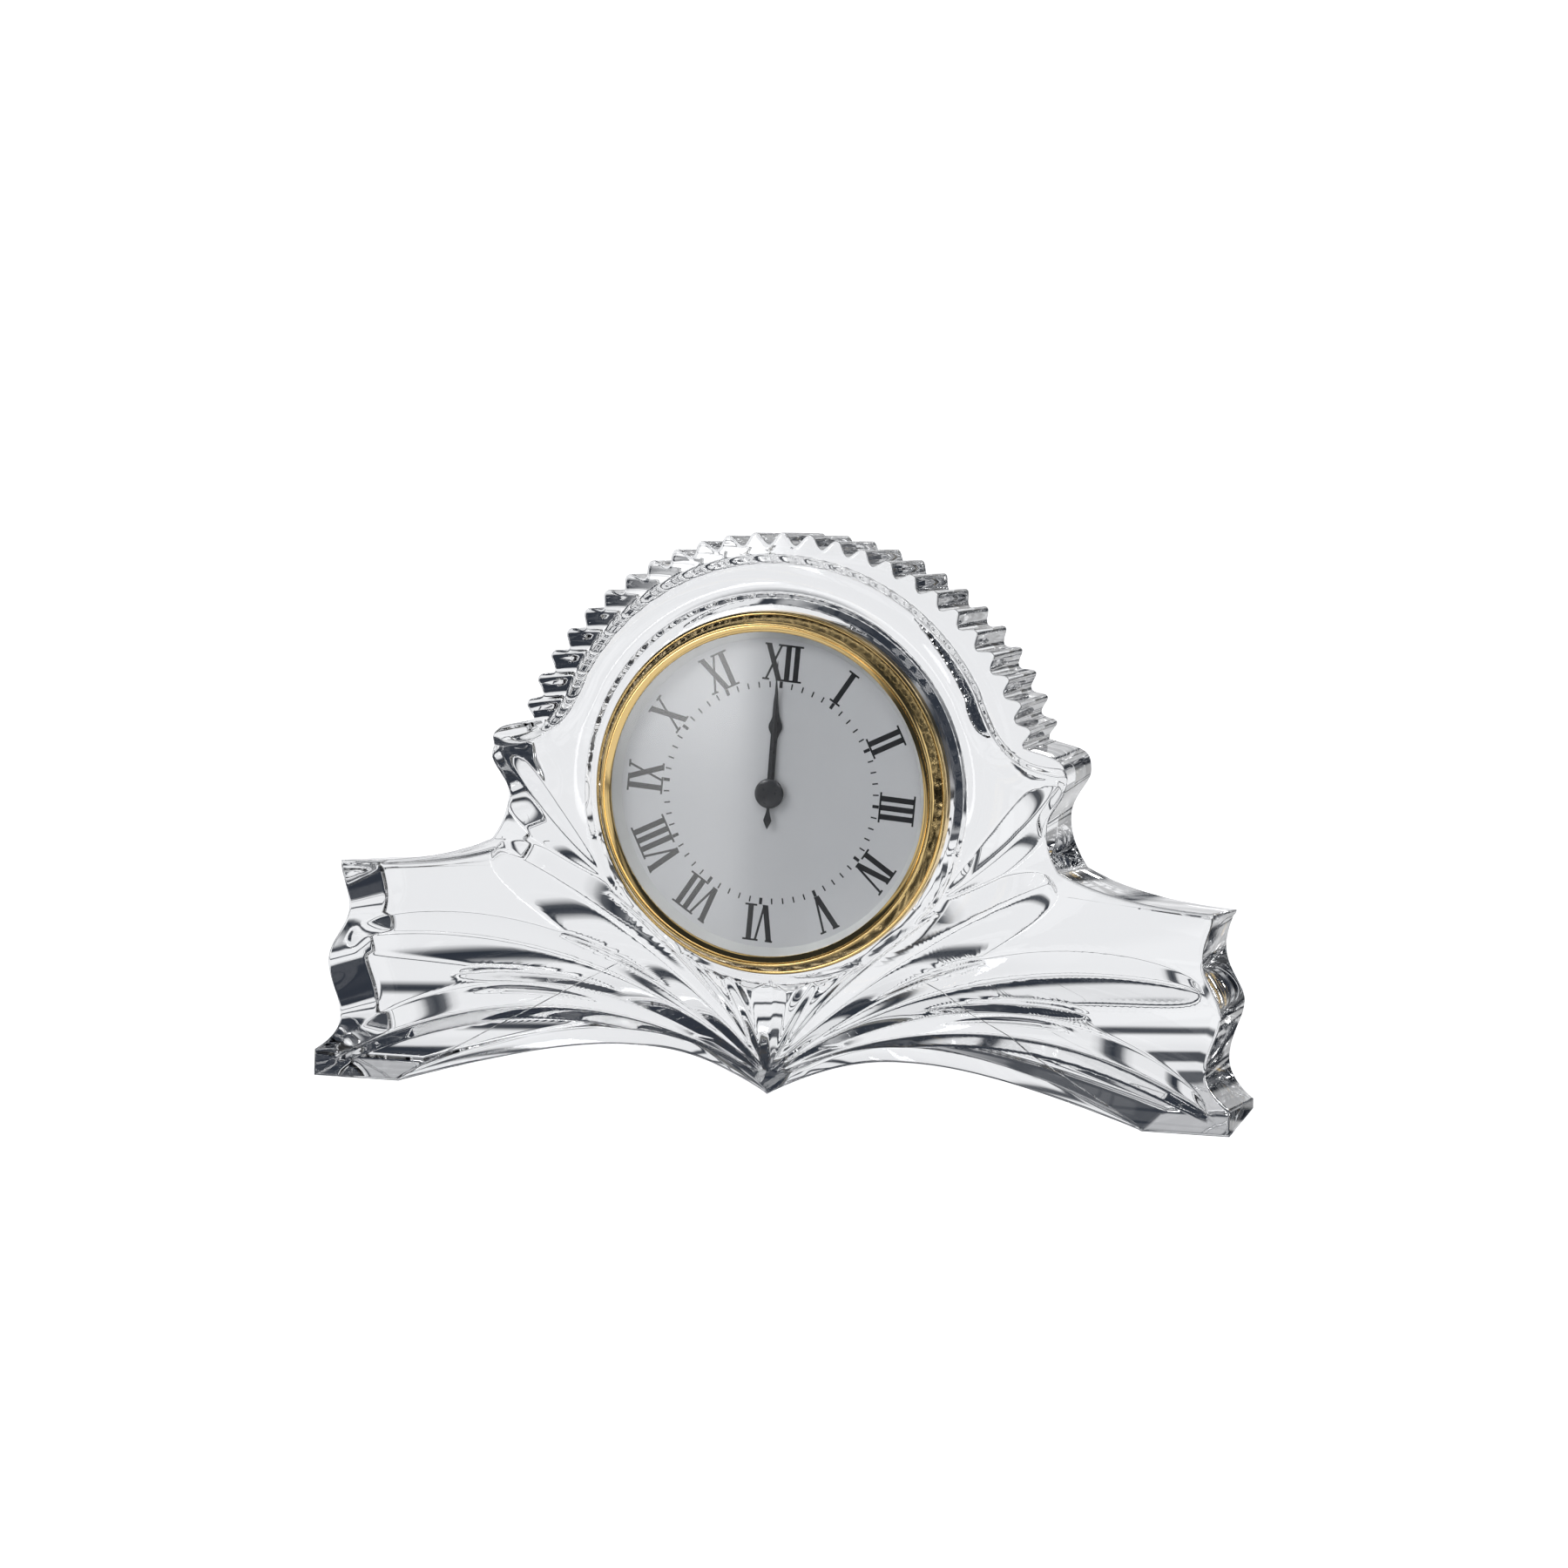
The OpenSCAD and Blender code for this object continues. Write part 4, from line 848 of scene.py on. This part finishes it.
def faded(nodes, links, value, stops):
    """Brightness along a value from -1 to 1: a smooth curve through the stops, each (value, brightness)."""
    shift = node(nodes, "Math", operation="MULTIPLY_ADD")
    shift.inputs[1].default_value, shift.inputs[2].default_value = 0.5, 0.5
    curve = node(nodes, "ValToRGB")
    ramp = curve.color_ramp
    ramp.interpolation = "EASE"
    while len(ramp.elements) < len(stops):
        ramp.elements.new(0.5)
    for element, (at, level) in zip(ramp.elements, stops):
        element.position, element.color = 0.5 + 0.5 * at, (level, level, level, 1)
    links.new(value, shift.inputs[0])
    links.new(shift.outputs[0], curve.inputs[0])
    return curve.outputs[0]


def combined(nodes, links, operation, a, b):
    """One Math node that works on two sockets."""
    made = node(nodes, "Math", operation=operation)
    links.new(a, made.inputs[0])
    links.new(b, made.inputs[1])
    return made.outputs[0]


def studio_axes(nodes, links, vector):
    """The same vector on the studio's axes, which are turned a about Z: x cos a + y sin a, y cos a - x sin a, z."""
    turn = node(nodes, "Mapping")
    turn.inputs["Rotation"].default_value = (0, 0, -studio_turn)
    links.new(vector, turn.inputs["Vector"])
    return turn.outputs[0]


def surroundings(nodes, links, direction):
    """Colour of the studio towards a unit direction (x, y, z) of its own axes, from its dark to its white by
    max(room across x times room up z, screens across x times screens up z)."""
    way = node(nodes, "SeparateXYZ")
    links.new(direction, way.inputs[0])
    sideways, height = way.outputs["X"], way.outputs["Z"]
    room = combined(nodes, links, "MULTIPLY", faded(nodes, links, sideways, room_across),
                    faded(nodes, links, height, room_up))
    sides = combined(nodes, links, "MULTIPLY", faded(nodes, links, sideways, screens_across),
                     faded(nodes, links, height, screens_up))
    shade = node(nodes, "Mix", data_type="RGBA")
    shade.inputs[6].default_value, shade.inputs[7].default_value = room_dark, room_white
    links.new(combined(nodes, links, "MAXIMUM", room, sides), shade.inputs[0])
    return shade.outputs[2]


# The table is white to the camera and catches the clock's shadow. To glass and brass each spot of it glows like the
# part of the studio that lies in its direction from the nearest point of a line through the middle of the clock.
reach, table_z, clock_half, clock_mid = 30.0, -2e-5, 0.11, 0.05
table, nodes, links, shader = material("white table", (0.72, 0.72, 0.72), roughness=0.9)
spot = node(nodes, "TexCoord")
nearest = node(nodes, "VectorMath", operation="MAXIMUM")
nearest.inputs[1].default_value = (-clock_half, 0, clock_mid)
clock = node(nodes, "VectorMath", operation="MINIMUM")
clock.inputs[1].default_value = (clock_half, 0, clock_mid)
seen_from = node(nodes, "VectorMath", operation="SUBTRACT")
unit = node(nodes, "VectorMath", operation="NORMALIZE")
distance = node(nodes, "VectorMath", operation="LENGTH")
turned_spot = studio_axes(nodes, links, spot.outputs["Object"])
links.new(turned_spot, nearest.inputs[0])
links.new(nearest.outputs[0], clock.inputs[0])
links.new(turned_spot, seen_from.inputs[0])
links.new(clock.outputs[0], seen_from.inputs[1])
links.new(seen_from.outputs[0], unit.inputs[0])
links.new(seen_from.outputs[0], distance.inputs[0])
glow = nodes.new("ShaderNodeEmission")
links.new(surroundings(nodes, links, unit.outputs[0]), glow.inputs["Color"])
rise = node(nodes, "MapRange", interpolation_type="SMOOTHSTEP")
for key, value in (("From Min", 0.25), ("From Max", 1.2), ("To Min", 0.83), ("To Max", 1.0)):
    rise.inputs[key].default_value = value
links.new(distance.outputs["Value"], rise.inputs["Value"])
path = nodes.new("ShaderNodeLightPath")
links.new(combined(nodes, links, "MULTIPLY", rise.outputs[0], path.outputs["Is Camera Ray"]),
          shader.inputs["Emission Strength"])
shader.inputs["Emission Color"].default_value = (1, 1, 1, 1)
choose = nodes.new("ShaderNodeMixShader")
links.new(combined(nodes, links, "MAXIMUM", path.outputs["Is Glossy Ray"], path.outputs["Is Transmission Ray"]),
          choose.inputs[0])
links.new(shader.outputs[0], choose.inputs[1])
links.new(glow.outputs[0], choose.inputs[2])
links.new(choose.outputs[0], nodes["Material Output"].inputs["Surface"])
floor = shell("table", np.array([[(-reach, -reach, table_z), (reach, -reach, table_z)],
                                 [(-reach, reach, table_z), (reach, reach, table_z)]]), around=False)
floor.data.materials.append(table)

world = bpy.data.worlds.new("studio")
bpy.context.scene.world = world
world.use_nodes = True
nodes, links = world.node_tree.nodes, world.node_tree.links
sky = nodes["Background"]
way = node(nodes, "TexCoord")
path = nodes.new("ShaderNodeLightPath")
pick = node(nodes, "Mix", data_type="RGBA")
pick.inputs[7].default_value = (1, 1, 1, 1)
links.new(path.outputs["Is Camera Ray"], pick.inputs[0])
links.new(surroundings(nodes, links, studio_axes(nodes, links, way.outputs["Generated"])), pick.inputs[6])
links.new(pick.outputs[2], sky.inputs["Color"])
sky.inputs["Strength"].default_value = 1.0


def softbox(name, at, aim, width, height, power):
    """Soft lamp: a glowing rectangle at a point, turned so that its face looks at another point. Its power in watts
    spreads over pi times its area."""
    lamp = bpy.data.lights.new(name, "AREA")
    lamp.shape, lamp.size, lamp.size_y, lamp.energy = "RECTANGLE", width, height, power
    made = bpy.data.objects.new(name, lamp)
    made.location = at
    made.rotation_euler = (mathutils.Vector(at) - mathutils.Vector(aim)).to_track_quat("Z", "Y").to_euler()
    made.visible_camera = made.visible_glossy = False
    bpy.context.scene.collection.objects.link(made)


softbox("key softbox", (-1.0, -1.1, 1.2), (0, 0, 0.06), 0.8, 0.8, 16)
softbox("fill softbox", (0.7, -1.2, 1.1), (0, 0, 0.06), 0.8, 0.6, 7)

# A white card in front of the clock that only reflections show: it lays the pale veil over the left of the lens.
card_left, card_right, card_y, card_top, card_glow = -0.27, -0.14, -0.55, 0.24, 7.0
veil_across = [(-0.205, 0.0), (-0.196, 0.7), (-0.185, 0.9), (-0.168, 1.0), (-0.152, 0.0)]
veil_up = [(0.0, 0.25), (0.05, 0.5), (0.09, 1.0), (0.16, 1.0), (card_top, 0.7)]
card = shell("veil_card", np.array([[(card_left, card_y, 0.0), (card_right, card_y, 0.0)],
                                    [(card_left, card_y, card_top), (card_right, card_y, card_top)]]), around=False)
haze, nodes, links, shader = material("soft white card", (0, 0, 0), roughness=1.0)
spot = node(nodes, "TexCoord")
parts = node(nodes, "SeparateXYZ")
links.new(spot.outputs["Object"], parts.inputs[0])
veil = combined(nodes, links, "MULTIPLY", faded(nodes, links, parts.outputs["X"], veil_across),
                faded(nodes, links, parts.outputs["Z"], veil_up))
strong = node(nodes, "Math", operation="MULTIPLY")
strong.inputs[1].default_value = card_glow
shader.inputs["Emission Color"].default_value = (1, 1, 1, 1)
links.new(veil, strong.inputs[0])
links.new(strong.outputs[0], shader.inputs["Emission Strength"])
card.data.materials.append(haze)
card.visible_camera = card.visible_diffuse = card.visible_transmission = card.visible_shadow = False

bpy.context.scene.view_settings.view_transform = "Standard"
